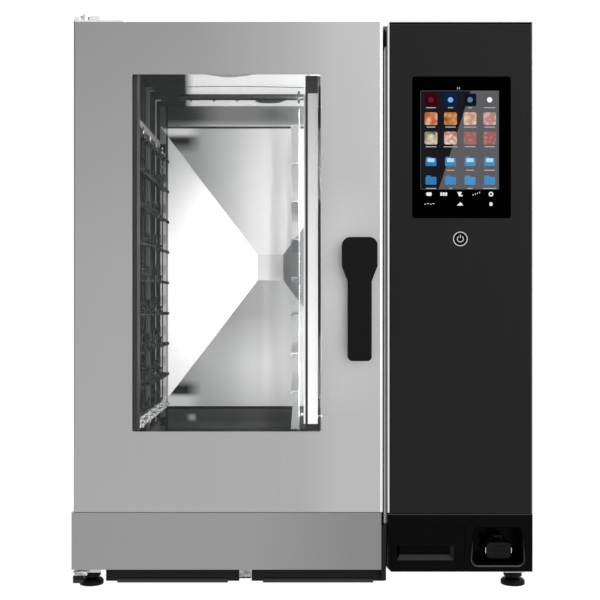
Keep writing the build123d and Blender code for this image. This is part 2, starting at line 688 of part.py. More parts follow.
def hand_shower():
    """Hand shower: rounded body with a spray face, a hinge ear, and the straight end of its hose."""
    with BuildPart() as piece:
        with BuildSketch(Plane.XZ.offset(312)):
            with Locations((SHOWER_X, SHOWER_Z)):
                RectangleRounded(47, 30, 8)
        extrude(amount=40)
        fillet(piece.faces().sort_by(Axis.Y)[0].edges(), radius=3)
        rod((SHOWER_X, -312, SHOWER_Z), "Y", HOSE_R, 170)
        rod((SHOWER_X, -353.5, SHOWER_Z), "Y", 9, 2)
        for side in (-1, 1):
            x = sorted((SHOWER_X + side * 8.4, SHOWER_X + side * 11.5))
            block(x, (-324, -314), (SHOWER_Z + 12, SHOWER_Z + 23))
        rod((SHOWER_X - 11, -319, SHOWER_Z + 20), "X", 1.5, 22)
    save(piece, "hand_shower")


def shower_trigger():
    """Lever on top of the hand shower."""
    pivot_z = SHOWER_Z + 20
    with BuildPart() as piece:
        with BuildSketch(Plane.YZ.offset(SHOWER_X - 8)):
            with BuildLine():
                Polyline(
                    (-315.5, pivot_z - 3), (-315.5, pivot_z + 3), (-344, pivot_z + 7),
                    (-346, pivot_z + 4), (-322.5, pivot_z - 3), (-315.5, pivot_z - 3),
                )
            make_face()
        extrude(amount=16)
        rod((SHOWER_X - 10, -319, pivot_z), "X", 1.5 + RUNNING_GAP, 22, Mode.SUBTRACT)
    save(piece, "shower_trigger")


def hose_reel():
    """Drum with its two cheeks and the hose wound on it."""
    with BuildPart() as piece:
        rod((SHOWER_X - 18, REEL_Y, REEL_Z + 7), "X", 66, 2)
        rod((SHOWER_X + 16, REEL_Y, REEL_Z + 7), "X", 66, 2)
        rod((SHOWER_X - 16, REEL_Y, REEL_Z + 7), "X", 40, 32)
        for x in (-9.3, 0, 9.3):
            with Locations(Location((SHOWER_X + x, REEL_Y, REEL_Z + 7), (0, 90, 0))):
                Torus(45.5, HOSE_R - 1)
        rod((SHOWER_X - 20, REEL_Y, REEL_Z + 7), "X", 7 + RUNNING_GAP, 50, Mode.SUBTRACT)
    save(piece, "hose_reel")


def reel_bracket():
    """Stand of the hose reel, with its axle."""
    with BuildPart() as piece:
        for x in ((SHOWER_X - 22, SHOWER_X - 20), (SHOWER_X + 20, SHOWER_X + 22)):
            block(x, (REEL_Y - 15, REEL_Y + 15), (BASE_Z + 2.5, REEL_Z + 20))
        rod((SHOWER_X - 22, REEL_Y, REEL_Z + 7), "X", 7, 44)
    save(piece, "reel_bracket")


def cooling_fan_housing():
    """Square housing of the column's cooling fan, with struts and an axle."""
    x, z = 290, 899
    with BuildPart() as piece:
        block((x - 46, x + 46), (368, 393.4), (z - 46, z + 46))
        rod((x, 360, z), "Y", 43, 50, Mode.SUBTRACT)
        block((x - 46, x + 46), (390, 393.4), (z - 4, z + 4))
        block((x - 4, x + 4), (390, 393.4), (z - 46, z + 46))
        rod((x, 380, z), "Y", 3, 12)
    save(piece, "cooling_fan_housing")


def cooling_fan_rotor():
    """Hub and seven pitched blades."""
    x, z = 290, 899
    with BuildPart() as piece:
        rod((x, 372, z), "Y", 18, 16)
        with Locations(Location((x, 380, z), (-90, 0, 0))):
            with PolarLocations(28, 7):
                with Locations(Rotation(30, 0, 0)):
                    Box(24, 18, 1.6)
        rod((x, 378, z), "Y", 3 + RUNNING_GAP, 20, Mode.SUBTRACT)
    save(piece, "cooling_fan_rotor")


def electrical_parts():
    """Upright plate on two legs with its row of contactors, and the mains terminals at the back."""
    with BuildPart() as piece:
        block((228, 415), (-182, -180), (230, 1020))
        block((306, 318), (-182, -168), (BASE_Z + 2.5, 230))
        block((400, 415), (-182, -168), (BASE_Z + 2.5, 230))
        with Locations(*[(260 + 55 * step, -222, 330) for step in range(3)]):
            Box(45, 80, 80)
        with Locations(*[(260 + 55 * step, -266, 330) for step in range(3)]):
            Box(30, 8, 50)
        block((200, 280), (330, 365), (BASE_Z + 2.5, 90))
        with Locations(*[(208 + 16 * step, 347, 90) for step in range(5)]):
            Box(10, 20, 12, mode=Mode.SUBTRACT)
    save(piece, "electrical_parts")


def cable_gland():
    """Mains cable gland through the rear panel."""
    with BuildPart() as piece:
        rod((GLAND_X, REAR_Y, GLAND_Z), "Y", GLAND_R, 17)
        rod((GLAND_X, REAR_Y - 12, GLAND_Z), "Y", 12.3, 12)
        rod((GLAND_X, REAR_Y - 20, GLAND_Z), "Y", 9, 60, Mode.SUBTRACT)
    save(piece, "cable_gland")


# ---- feet ---------------------------------------------------------------
def foot(x, y, label):
    """Levelling foot: domed flange, short neck, locknut and spindle."""
    with BuildPart() as piece:
        with BuildSketch(Plane.XZ.offset(-y)) as profile:
            with BuildLine():
                Polyline(
                    (x, 0), (x + 22, 0), (x + 22.5, 1.5), (x + 22.5, 6.5), (x + 20, 9.5),
                    (x + 10, 12.5), (x + 9.5, LOCKNUT_Z[0]), (x + LOCKNUT_R, LOCKNUT_Z[0]),
                    (x + LOCKNUT_R, LOCKNUT_Z[1]), (x + FOOT_SPINDLE_R, LOCKNUT_Z[1]),
                    (x + FOOT_SPINDLE_R, 38), (x, 38), (x, 0),
                )
            make_face()
        revolve(axis=Axis((x, y, 0), (0, 0, 1)), revolution_arc=360)
    save(piece, label)


# ---- door ---------------------------------------------------------------
def door_shell():
    """Outer door shell: round left edge, bevelled right edge, window opening and two hinge bushes."""
    with BuildPart() as piece:
        block(DOOR_X, (FACE_Y, -312), DOOR_Z)
        front_edges = piece.edges().filter_by(Axis.Z).group_by(Axis.Y)[0]
        fillet(front_edges.sort_by(Axis.X)[0], radius=4)
        block(grow(DOOR_X, -SHEET), (FACE_Y + SHEET, -300), grow(DOOR_Z, -SHEET), Mode.SUBTRACT)
        with BuildSketch(Plane.XY.offset(DOOR_Z[0] - 1)):
            with BuildLine():
                Polyline(
                    (DOOR_X[1] - BEVEL_X, FACE_Y), (DOOR_X[1], FACE_Y + BEVEL_Y), (DOOR_X[1] + 1, FACE_Y + BEVEL_Y),
                    (DOOR_X[1] + 1, FACE_Y - 1), (DOOR_X[1] - BEVEL_X, FACE_Y - 1), (DOOR_X[1] - BEVEL_X, FACE_Y),
                )
            make_face()
        extrude(amount=length(DOOR_Z) + 2, mode=Mode.SUBTRACT)
        with BuildSketch(Plane.XZ.offset(-FACE_Y - 5)):
            with Locations((middle(WINDOW_X), middle(WINDOW_Z))):
                RectangleRounded(length(WINDOW_X), length(WINDOW_Z), 3)
            with Locations((HANDLE_X, HANDLE_Z)):
                Circle(12.6)
        extrude(amount=10, mode=Mode.SUBTRACT)
        for z in ((DOOR_Z[0], 168), (1018, DOOR_Z[1])):
            rod((HINGE_X, HINGE_Y, z[0]), "Z", 11, length(z))
            rod((HINGE_X, HINGE_Y, z[0] - 1), "Z", HINGE_PIN_R + RUNNING_GAP, length(z) + 2, Mode.SUBTRACT)
    save(piece, "door_shell")


def door_inner_frame():
    """Inner door panel with the glass opening, the latch hole and a drip channel at its foot."""
    with BuildPart() as piece:
        block(DOOR_X, (-312, DOOR_BACK_Y), DOOR_Z)
        with BuildSketch(Plane.XZ.offset(-DOOR_BACK_Y - 2)):
            with Locations(((-325 + 48) / 2, (280 + 960) / 2)):
                RectangleRounded(373, 680, 12)
            with Locations((HANDLE_X, HANDLE_Z)):
                Circle(SPINDLE_R + 0.6)
        extrude(amount=10, both=True, mode=Mode.SUBTRACT)
        block((-390, 130), (DOOR_BACK_Y, DOOR_BACK_Y + 5.2), (150, 168))
        block((-388, 128), (DOOR_BACK_Y + 1.2, DOOR_BACK_Y + 4), (152, 170), Mode.SUBTRACT)
    save(piece, "door_inner_frame")


def door_outer_glass():
    with BuildPart() as piece:
        block((-324, 48), (FACE_Y + SHEET + 0.1, FACE_Y + SHEET + 5.1), (280, 960))
    save(piece, "door_outer_glass")


def door_window_frame():
    """Dark frame between the two panes."""
    with BuildPart() as piece:
        block((-322, 44), (-353.3, -318.2), (272, 968))
        block((-305, 36.5), (-360, -300), (282, 957.6), Mode.SUBTRACT)
    save(piece, "door_window_frame")


def door_inner_glass():
    with BuildPart() as piece:
        block((-335, 58), (-318, -312), (270, 970))
    save(piece, "door_inner_glass")


def door_light_housing():
    """Carrier of the light bar at the right edge of the window."""
    with BuildPart() as piece:
        block((6, 29.5), (-350, -330), (291.5, 948))
    save(piece, "door_light_housing")


def door_light_lens():
    """Light bar: the clear strip in front of the lamps, facing both panes."""
    with BuildPart() as piece:
        block((10.5, 28.8), (-352.5, -350), (304, 915))
        block((3, 6), (-348, -332), (304, 915))
    save(piece, "door_light_lens")


def latch_case():
    """Latch housing inside the door, with the bearing of the handle spindle."""
    with BuildPart() as piece:
        block((76, 130), (-357, -313), (HANDLE_Z - 32, HANDLE_Z + 32))
        rod((HANDLE_X, -360, HANDLE_Z), "Y", SPINDLE_R + RUNNING_GAP, 60, Mode.SUBTRACT)
    save(piece, "latch_case")


def door_handle():
    """Flat paddle: wide head over the hub, tapering to a straight grip."""
    head, grip = 31.8, 21.3
    top, shoulder, neck, tip = HANDLE_Z + 30, HANDLE_Z - 22, HANDLE_Z - 49, HANDLE_Z - 192.5
    with BuildPart() as piece:
        with BuildSketch(Plane.XZ.offset(393)) as outline:
            with BuildLine():
                Polyline(
                    (HANDLE_X - head, top), (HANDLE_X + head, top), (HANDLE_X + head, shoulder),
                    (HANDLE_X + grip, neck), (HANDLE_X + grip, tip), (HANDLE_X - grip, tip),
                    (HANDLE_X - grip, neck), (HANDLE_X - head, shoulder), (HANDLE_X - head, top),
                )
            make_face()
            fillet(outline.vertices().group_by(Axis.Y)[-1], radius=15)
            fillet(outline.vertices().group_by(Axis.Y)[0], radius=8)
        extrude(amount=24.5)
        fillet(piece.faces().sort_by(Axis.Y)[0].edges(), radius=3)
        rod((HANDLE_X, -393, HANDLE_Z), "Y", 18, 26)
        rod((HANDLE_X, -367, HANDLE_Z), "Y", 12, 8)
    save(piece, "door_handle")


def latch_cam():
    """Spindle of the handle, with the cam at its inner end."""
    with BuildPart() as piece:
        rod((HANDLE_X, -359, HANDLE_Z), "Y", SPINDLE_R, 56)
        with BuildSketch(Plane.XZ.offset(303)):
            with Locations((HANDLE_X, HANDLE_Z)):
                Circle(11)
            with Locations((HANDLE_X + 12, HANDLE_Z)):
                Rectangle(24, 12)
        extrude(amount=4)
    save(piece, "latch_cam")


def main():
    base_frame()
    front_base_panel()
    plinth_bars()
    front_brackets()
    side_panel(-1, FRAME_Y, "side_panel_left")
    side_panel(1, FACE_Y + 2, "side_panel_right")
    rear_panel()
    top_panel()
    front_frame()
    cavity_liner()
    cavity_rear_panel()
    insulation()
    door_gasket()
    air_baffle()
    rack(LEFT_WEB_X, 1, "rack_left")
    rack(RIGHT_WEB_X, -1, "rack_right")
    heating_element()
    fan_wheel()
    fan_motor()
    spray_bar()
    ceiling_boss()
    drain_grate()
    drain_pipe()
    steam_generator()
    water_inlets()
    exhaust_flue()
    air_vent_tube()
    vent_flap()
    damper_motor()
    hinge_brackets()
    column_trim()
    control_panel()
    touchscreen_glass()
    panel_electronics()
    power_button()
    column_base()
    detergent_drawer()
    drawer_rails()
    hand_shower()
    shower_trigger()
    hose_reel()
    reel_bracket()
    cooling_fan_housing()
    cooling_fan_rotor()
    electrical_parts()
    cable_gland()
    for x, side in ((-FOOT_X, "left"), (FOOT_X, "right")):
        foot(x, FOOT_Y[0], f"foot_front_{side}")
        foot(x, FOOT_Y[1], f"foot_rear_{side}")
    door_shell()
    door_inner_frame()
    door_outer_glass()
    door_window_frame()
    door_inner_glass()
    door_light_housing()
    door_light_lens()
    latch_case()
    door_handle()
    latch_cam()


main()
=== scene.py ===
"""Looks of the combi steamer oven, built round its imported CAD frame. Metres, +Z up, the door faces -Y."""
import json
import math

import bmesh
import bpy
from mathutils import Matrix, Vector


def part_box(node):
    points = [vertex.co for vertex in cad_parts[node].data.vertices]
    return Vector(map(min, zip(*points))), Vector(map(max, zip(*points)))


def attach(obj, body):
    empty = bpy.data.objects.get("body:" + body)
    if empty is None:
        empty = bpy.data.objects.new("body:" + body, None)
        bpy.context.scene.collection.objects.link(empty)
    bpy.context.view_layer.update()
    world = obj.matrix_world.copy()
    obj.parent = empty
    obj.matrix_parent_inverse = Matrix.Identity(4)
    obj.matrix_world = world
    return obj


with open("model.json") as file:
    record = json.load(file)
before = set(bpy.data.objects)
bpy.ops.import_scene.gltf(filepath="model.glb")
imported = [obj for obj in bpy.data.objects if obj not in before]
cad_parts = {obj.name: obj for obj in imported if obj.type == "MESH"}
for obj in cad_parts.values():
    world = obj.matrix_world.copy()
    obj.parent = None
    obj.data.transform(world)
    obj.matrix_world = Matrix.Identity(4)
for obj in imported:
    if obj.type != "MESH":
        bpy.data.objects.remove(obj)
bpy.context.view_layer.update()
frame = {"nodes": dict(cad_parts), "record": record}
NODES = frame["nodes"]
MM = 0.001
# colour, roughness, depth of the grain in metres, and grains per metre
GLOSS_BLACK = ((0.0013, 0.0013, 0.0014), 0.16, 0.00001, 900.0)
MATT_BLACK = ((0.0042, 0.0042, 0.0044), 0.48, 0.00005, 1500.0)


# ---- materials ----------------------------------------------------------
class Surface:
    """A node material with short helpers for grain, tone and bump."""

    def __init__(self, name, color, metallic=0.0, roughness=0.5, **sockets):
        self.mat = bpy.data.materials.new(name)
        self.mat.use_nodes = True
        self.tree = self.mat.node_tree
        self.bsdf = self.tree.nodes["Principled BSDF"]
        self.color = (*color, 1.0)
        self.bsdf.inputs["Base Color"].default_value = self.color
        self.bsdf.inputs["Metallic"].default_value = metallic
        self.bsdf.inputs["Roughness"].default_value = roughness
        for socket, value in sockets.items():
            self.bsdf.inputs[socket.replace("_", " ")].default_value = value
        self.coords = self.add("ShaderNodeTexCoord")
        self.height = None

    def add(self, kind, **settings):
        node = self.tree.nodes.new(kind)
        for key, value in settings.items():
            setattr(node, key, value)
        return node

    def link(self, source, target):
        self.tree.links.new(source, target)

    def noise(self, scale, size=1.0, detail=4.0, rough=0.5):
        """Noise in object space, stretched by a scale on each axis (features per metre)."""
        mapping = self.add("ShaderNodeMapping")
        mapping.inputs["Scale"].default_value = scale
        self.link(self.coords.outputs["Object"], mapping.inputs["Vector"])
        noise = self.add("ShaderNodeTexNoise")
        noise.inputs["Scale"].default_value = size
        noise.inputs["Detail"].default_value = detail
        noise.inputs["Roughness"].default_value = rough
        self.link(mapping.outputs["Vector"], noise.inputs["Vector"])
        return noise.outputs["Fac"]

    def spread(self, value, low, high, from_low=0.3, from_high=0.7):
        """A value brought from one range to another, and held within it."""
        node = self.add("ShaderNodeMapRange")
        node.inputs["From Min"].default_value = from_low
        node.inputs["From Max"].default_value = from_high
        node.inputs["To Min"].default_value = low
        node.inputs["To Max"].default_value = high
        self.link(value, node.inputs["Value"])
        return node.outputs["Result"]

    def tint(self, factor, other):
        """Mixes the colour so far towards another colour by a factor."""
        mix = self.add("ShaderNodeMix", data_type="RGBA")
        self.link(factor, mix.inputs["Factor"])
        base = self.bsdf.inputs["Base Color"]
        if base.is_linked:
            self.link(base.links[0].from_socket, mix.inputs["A"])
        else:
            mix.inputs["A"].default_value = self.color
        mix.inputs["B"].default_value = (*other, 1.0)
        self.link(mix.outputs["Result"], base)

    def rough(self, value):
        self.link(value, self.bsdf.inputs["Roughness"])

    def part_of(self, output, axis):
        """One component of the place ("Object") or the facing ("Normal") of the surface."""
        split = self.add("ShaderNodeSeparateXYZ")
        self.link(self.coords.outputs[output], split.inputs["Vector"])
        return split.outputs[axis]

    def ramp(self, axis, start, stop, output="Object"):
        """0 to 1 from one place, or facing, to another along an axis."""
        return self.spread(self.part_of(output, axis), 0.0, 1.0, start, stop)

    def stripe(self, axis, centre, half, output="Object"):
        """1 within a half width of a place along an axis, 0 elsewhere."""
        node = self.add("ShaderNodeMath", operation="COMPARE")
        node.inputs[1].default_value = centre
        node.inputs[2].default_value = half
        self.link(self.part_of(output, axis), node.inputs[0])
        return node.outputs["Value"]

    def slant(self, lean, start, stop):
        """0 to 1 across a boundary whose X runs with Y by a lean."""
        node = self.add("ShaderNodeMath", operation="MULTIPLY_ADD")
        node.inputs[1].default_value = lean
        self.link(self.part_of("Object", "Y"), node.inputs[0])
        self.link(self.part_of("Object", "X"), node.inputs[2])
        return self.spread(node.outputs["Value"], 0.0, 1.0, start, stop)

    def runner_shadow_bands(self):
        """1 on the painted shadow bands that the rack's runners throw on the wall behind them, one to a
        level.
        """
        rise, pitch, top, share = 0.05, 0.0747, 0.903, 0.30
        levels_below = 20   # more than there are, so that the count stays above zero
        level = self.add("ShaderNodeMath", operation="MULTIPLY_ADD")
        level.inputs[1].default_value = -rise
        self.link(self.part_of("Object", "Y"), level.inputs[0])
        self.link(self.part_of("Object", "Z"), level.inputs[2])
        count = self.add("ShaderNodeMath", operation="MULTIPLY_ADD")
        count.inputs[1].default_value = 1 / pitch
        count.inputs[2].default_value = levels_below - top / pitch
        self.link(level.outputs["Value"], count.inputs[0])
        phase = self.add("ShaderNodeMath", operation="FRACT")
        self.link(count.outputs["Value"], phase.inputs[0])
        return self.both(self.spread(phase.outputs["Value"], 0.0, 1.0, 0.97 - share, 1.03 - share),
                         self.ramp("Z", 0.925, 0.915))

    def spot(self, places):
        """Soft patch: a centre and a half width for each of the axes given."""
        value = None
        for axis, (centre, half) in places.items():
            for edge in (centre - half, centre + half):
                side = self.ramp(axis, edge, centre)
                value = side if value is None else self.both(value, side)
        return value

    def matt(self, factor):
        """Takes the metal away by a factor, so that a dark face doesn't shine at a low angle."""
        node = self.add("ShaderNodeMath", operation="SUBTRACT", use_clamp=True)
        metallic = self.bsdf.inputs["Metallic"]
        node.inputs[0].default_value = metallic.default_value
        if metallic.is_linked:
            self.link(metallic.links[0].from_socket, node.inputs[0])
        self.link(factor, node.inputs[1])
        self.link(node.outputs["Value"], metallic)

    def both(self, first, second):
        """The product of two factors: 1 only where both are 1."""
        node = self.add("ShaderNodeMath", operation="MULTIPLY")
        self.link(first, node.inputs[0])
        self.link(second, node.inputs[1])
        return node.outputs["Value"]

    def glow(self, value, strength):
        """Adds light of its own, by a factor."""
        node = self.add("ShaderNodeMath", operation="MULTIPLY_ADD")
        node.inputs[1].default_value = strength
        node.inputs[2].default_value = 0.0
        self.link(value, node.inputs[0])
        power = self.bsdf.inputs["Emission Strength"]
        if power.is_linked:
            self.link(power.links[0].from_socket, node.inputs[2])
        self.bsdf.inputs["Emission Color"].default_value = (1, 1, 1, 1)
        self.link(node.outputs["Value"], power)

    def bump(self, value, distance, strength=1.0):
        node = self.add("ShaderNodeBump")
        node.inputs["Distance"].default_value = distance
        node.inputs["Strength"].default_value = strength
        self.link(value, node.inputs["Height"])
        if self.height is not None:
            self.link(self.height, node.inputs["Normal"])
        self.height = node.outputs["Normal"]
        self.link(self.height, self.bsdf.inputs["Normal"])

    def worn_edges(self, color, amount=0.6):
        """Lighter, rubbed edges where the surface is convex."""
        geometry = self.add("ShaderNodeNewGeometry")
        edge = self.spread(geometry.outputs["Pointiness"], 0.0, amount, 0.52, 0.60)
        self.tint(edge, color)


def brushed(name, color, along, roughness=0.38, contrast=0.10, metallic=1.0):
    """Brushed stainless steel; `along` is the axis of the grain."""
    s = Surface(name, color, metallic, roughness)
    fine, broad = 900.0, 38.0
    fine_scale = [fine, fine, fine]
    broad_scale = [broad, broad, broad]
    fine_scale["XYZ".index(along)] = 7.0
    broad_scale["XYZ".index(along)] = 1.2
    streak = s.noise(fine_scale, detail=3.0)
    band = s.noise(broad_scale, detail=3.0)
    darker = [c * (1 - contrast) for c in color]
    lighter = [min(1.0, c * (1 + contrast)) for c in color]
    s.tint(s.spread(streak, 0.0, 0.75), darker)
    s.tint(s.spread(band, 0.0, 0.6), lighter)
    s.rough(s.spread(streak, roughness - 0.05, roughness + 0.06))
    s.bump(streak, 0.00002, 0.35)
    smudge = s.noise((6.0, 6.0, 6.0), detail=5.0)
    s.bump(smudge, 0.0002, 0.05)
    return s


def rolled(name, color, roughness=0.22, metallic=1.0, **sockets):
    """Bright rolled steel with faint water marks."""
    s = Surface(name, color, metallic, roughness, **sockets)
    cloud = s.noise((5.0, 5.0, 5.0), detail=2.0)
    s.tint(s.spread(cloud, 0.0, 0.12), [color[0] * 0.90, color[1] * 0.90, color[2] * 0.89])
    s.rough(s.spread(cloud, roughness - 0.02, roughness + 0.03))
    return s


def cavity_back():
    """Pressed rear wall with painted light: each sloping face has its own painted tone of light and shade,
    the brightest ones glowing, and the flat margins have darker painted shade.
    """
    s = rolled("cavity_back", (0.80, 0.80, 0.80), 0.42)
    # painted light and shade by facing: each sloping face gets its own tone, and the brighter faces glow
    across = s.ramp("X", -0.25, 0.0)
    down = s.ramp("Z", -0.02, -0.06, "Normal")
    up = s.ramp("Z", 0.02, 0.06, "Normal")
    s.tint(down, (0.64, 0.64, 0.64))
    s.tint(s.both(down, across), (0.98, 0.98, 0.98))
    s.glow(s.both(down, across), 0.17)
    s.tint(up, (0.78, 0.78, 0.78))
    s.tint(s.both(up, across), (0.64, 0.64, 0.64))
    s.tint(s.ramp("X", -0.03, -0.08, "Normal"), (0.42, 0.42, 0.42))
    left = s.ramp("X", 0.03, 0.08, "Normal")
    s.tint(left, (1.0, 1.0, 1.0))
    s.tint(s.both(left, s.ramp("Z", 0.60, 0.90)), (0.76, 0.76, 0.76))
    s.glow(s.both(left, s.ramp("Z", 0.86, 0.62)), 0.40)
    s.tint(s.both(s.both(up, s.ramp("Z", 0.38, 0.50)), s.ramp("X", -0.26, -0.17)), (0.42, 0.42, 0.42))
    s.glow(s.both(up, s.ramp("X", -0.105, -0.040)), 0.40)
    s.glow(s.both(down, s.ramp("X", -0.065, -0.040)), 0.12)
    # painted shadow and glowing painted highlight wedges at the upper and lower left corners of the pressed
    # face
    corner = s.ramp("X", -0.246, -0.284)
    high = s.both(s.ramp("Z", 0.944, 0.930), s.ramp("Z", 0.893, 0.922))
    s.tint(s.both(s.both(down, corner), high), (0.03, 0.03, 0.03))
    bright = s.both(s.both(down, corner), s.ramp("Z", 0.934, 0.944))
    s.tint(bright, (1.0, 1.0, 1.0))
    s.glow(bright, 0.35)
    low = s.both(s.ramp("Z", 0.294, 0.304), s.ramp("Z", 0.338, 0.318))
    s.tint(s.both(s.both(up, corner), low), (0.03, 0.03, 0.03))
    foot = s.both(s.both(up, corner), s.ramp("Z", 0.302, 0.290))
    s.tint(foot, (1.0, 1.0, 1.0))
    s.glow(foot, 0.30)
    # painted shade on the flat strips above and below the pressed face
    over = s.ramp("Z", 0.959, 0.961)
    under = s.ramp("Z", 0.269, 0.267)
    s.tint(over, (0.25, 0.25, 0.25))
    s.tint(s.both(over, s.ramp("X", -0.20, -0.26)), (0.07, 0.07, 0.07))
    s.tint(s.both(over, s.ramp("Z", 0.978, 0.966)), (0.42, 0.42, 0.42))
    s.tint(under, (0.10, 0.10, 0.10))
    s.tint(s.both(under, s.ramp("Z", 0.240, 0.222)), (0.17, 0.17, 0.17))
    # painted highlight: a glowing spot low on the left
    s.glow(s.spot({"X": (-0.2705, 0.014), "Z": (0.244, 0.012)}), 0.45)
    # painted shade on the left margin, with the runners' painted shadow bands and a dark line along its edge
    margin = s.ramp("X", -0.333, -0.337)
    s.tint(margin, (0.20, 0.20, 0.20))
    s.tint(s.both(margin, s.runner_shadow_bands()), (0.012, 0.012, 0.012))
    s.tint(s.stripe("X", -0.3325, 0.0030), (0.03, 0.03, 0.03))
    return s


def cavity_liner_steel():
    """Liner with painted light: a bright ceiling with a glowing painted highlight that fades to painted shade
    at the left, painted shade on the floor, and a left wall darkened by painted shade with painted
    reflections of the posts as light streaks.
    """
    s = rolled("cavity_liner_steel", (0.45, 0.45, 0.45), 0.25, Specular_IOR_Level=0.0)
    # painted light: a dark ceiling with a glowing painted highlight over its right part
    ceiling = s.ramp("Z", 1.003, 1.008)
    lit = s.both(ceiling, s.slant(0.104, -0.256, -0.236))
    s.tint(ceiling, (0.028, 0.028, 0.028))
    s.tint(lit, (0.95, 0.95, 0.95))
    s.glow(lit, 0.78)
    s.matt(s.both(ceiling, s.slant(0.104, -0.236, -0.256)))
    # painted shade: the left wall is made dark
    wall = s.ramp("X", -0.335, -0.34)
    s.tint(wall, (0.020, 0.020, 0.020))
    s.matt(wall)
    # painted reflections of the rack's posts, as light streaks: place along Y, half width and tone
    posts = ((-0.054, 0.006, 0.07), (0.021, 0.006, 0.04), (0.076, 0.008, 0.14), (0.108, 0.008, 0.20))
    for place, half, tone in posts:
        s.tint(s.both(wall, s.stripe("Y", place, half)), (tone, tone, tone))
    streak = s.both(wall, s.stripe("Y", 0.225, 0.009))
    s.tint(streak, (0.45, 0.45, 0.45))
    # painted shadow bands of the runners on the wall, with flecks of painted light in them
    bands = s.both(wall, s.runner_shadow_bands())
    s.tint(bands, (0.003, 0.003, 0.003))
    flecks = s.spread(s.noise((200.0, 90.0, 300.0), detail=1.0), 0.0, 1.0, 0.58, 0.62)
    s.tint(s.both(bands, flecks), (0.22, 0.22, 0.22))
    # painted highlight: a light line along the wall near its top, then painted shade low down on the floor
    s.tint(s.both(wall, s.both(s.ramp("Z", 0.905, 0.910), s.ramp("Z", 0.925, 0.920))), (0.34, 0.34, 0.34))
    s.tint(s.ramp("Z", 0.24, 0.225), (0.17, 0.17, 0.17))
    return s


def rack_left_steel():
    """Left rack: web and ledges made dark by painted shade, with flecks of painted light, and glowing painted
    highlights on the top and lowest runners.
    """
    # painted shade: the rack's steel is nearly black and without gloss
    s = Surface("rack_left_steel", (0.010, 0.010, 0.010), 0.0, 0.35, Specular_IOR_Level=0.0)
    # flecks of painted light, and a painted highlight along one post
    flecks = s.spread(s.noise((260.0, 130.0, 420.0), detail=1.0), 0.0, 1.0, 0.60, 0.66)
    s.tint(flecks, (0.36, 0.36, 0.36))
    s.tint(s.stripe("Y", 0.039, 0.0046), (0.07, 0.07, 0.07))
    # glowing painted highlights on the top and lowest runners
    top = s.ramp("Z", 0.868, 0.874)
    low = s.ramp("Z", 0.292, 0.286)
    patches = s.spread(s.noise((150.0, 70.0, 260.0), detail=1.0), 0.0, 1.0, 0.44, 0.50)
    for end in (top, low):
        s.tint(s.both(end, patches), (0.85, 0.85, 0.85))
        s.glow(s.both(end, patches), 0.12)
    return s


def rack_right_steel():
    """Right rack: bright where it catches the light of the wall, and grey in the middle."""
    s = rolled("rack_right_steel", (0.50, 0.50, 0.50), 0.20)
    # painted light: lighter above and below the grey middle, with a painted glow at the top
    for part, light in ((s.ramp("Z", 0.67, 0.69), 0.08), (s.ramp("Z", 0.48, 0.46), 0.0)):
        s.tint(part, (0.78, 0.78, 0.78))
        s.glow(part, light)
    return s


def mottled_steel():
    """Plated bracket steel, darker in random spots, with painted highlight spots on the brackets at the left.
    """
    s = Surface("mottled_steel", (0.42, 0.42, 0.43), 1.0, 0.30)
    s.tint(s.spread(s.noise((170.0, 170.0, 170.0), detail=3.0), 0.0, 0.8, 0.42, 0.58), (0.16, 0.16, 0.16))
    # painted highlights: bright spots on the brackets at the left
    bright = s.spread(s.noise((90.0, 90.0, 90.0)), 0.0, 1.0, 0.45, 0.52)
    s.tint(s.both(s.ramp("X", -0.30, -0.34), bright), (0.95, 0.95, 0.95))
    return s


def moulded(name, color, roughness, grain=0.00004, scale=1800.0, **sockets):
    """Moulded plastic with a fine surface grain and slight gloss change."""
    s = Surface(name, color, 0.0, roughness, **sockets)
    pores = s.noise((scale, scale, scale), detail=2.0)
    haze = s.noise((25.0, 25.0, 25.0), detail=4.0)
    s.tint(s.spread(haze, 0.0, 0.25), [min(1, c * 1.4) for c in color])
    s.rough(s.spread(haze, max(0.02, roughness - 0.05), roughness + 0.05))
    s.bump(pores, grain, 0.4)
    return s


def drawer_black():
    """Drawer front: painted shade makes the pull black inside, and painted light makes its lower and side
    bevels lighter.
    """
    s = moulded("drawer_black", *GLOSS_BLACK, Specular_IOR_Level=0.035)
    inside = s.ramp("Y", -0.3595, -0.3580)
    s.tint(inside, (0.0006, 0.0006, 0.0006))
    s.tint(s.both(inside, s.ramp("Z", 0.10, 0.30, "Normal")), (0.034, 0.034, 0.035))
    s.tint(s.both(inside, s.ramp("X", -0.10, -0.30, "Normal")), (0.026, 0.026, 0.027))
    return s


def base_black():
    """Column base: painted light makes the rounded lip of the shower recess lighter along its foot and sides.
    """
    s = moulded("base_black", *GLOSS_BLACK, Specular_IOR_Level=0.035)
    lip = s.both(s.ramp("Y", -0.3598, -0.3596), s.ramp("Y", -0.3572, -0.3576))
    s.tint(s.both(lip, s.ramp("Z", 0.30, 0.60, "Normal")), (0.055, 0.055, 0.056))
    low = s.ramp("Z", 0.090, 0.060)
    s.tint(s.both(s.both(lip, low), s.ramp("X", 0.30, 0.60, "Normal")), (0.050, 0.050, 0.050))
    s.tint(s.both(s.both(lip, low), s.ramp("X", -0.30, -0.60, "Normal")), (0.040, 0.040, 0.040))
    return s


def glowing(name, color, strength):
    """Lit display element: dark when off, so all its colour comes from its light."""
    s = Surface(name, [c * 0.05 for c in color], 0.0, 0.3)
    s.bsdf.inputs["Emission Color"].default_value = (*color, 1.0)
    s.bsdf.inputs["Emission Strength"].default_value = strength
    s.bsdf.inputs["Specular IOR Level"].default_value = 0.0
    return s


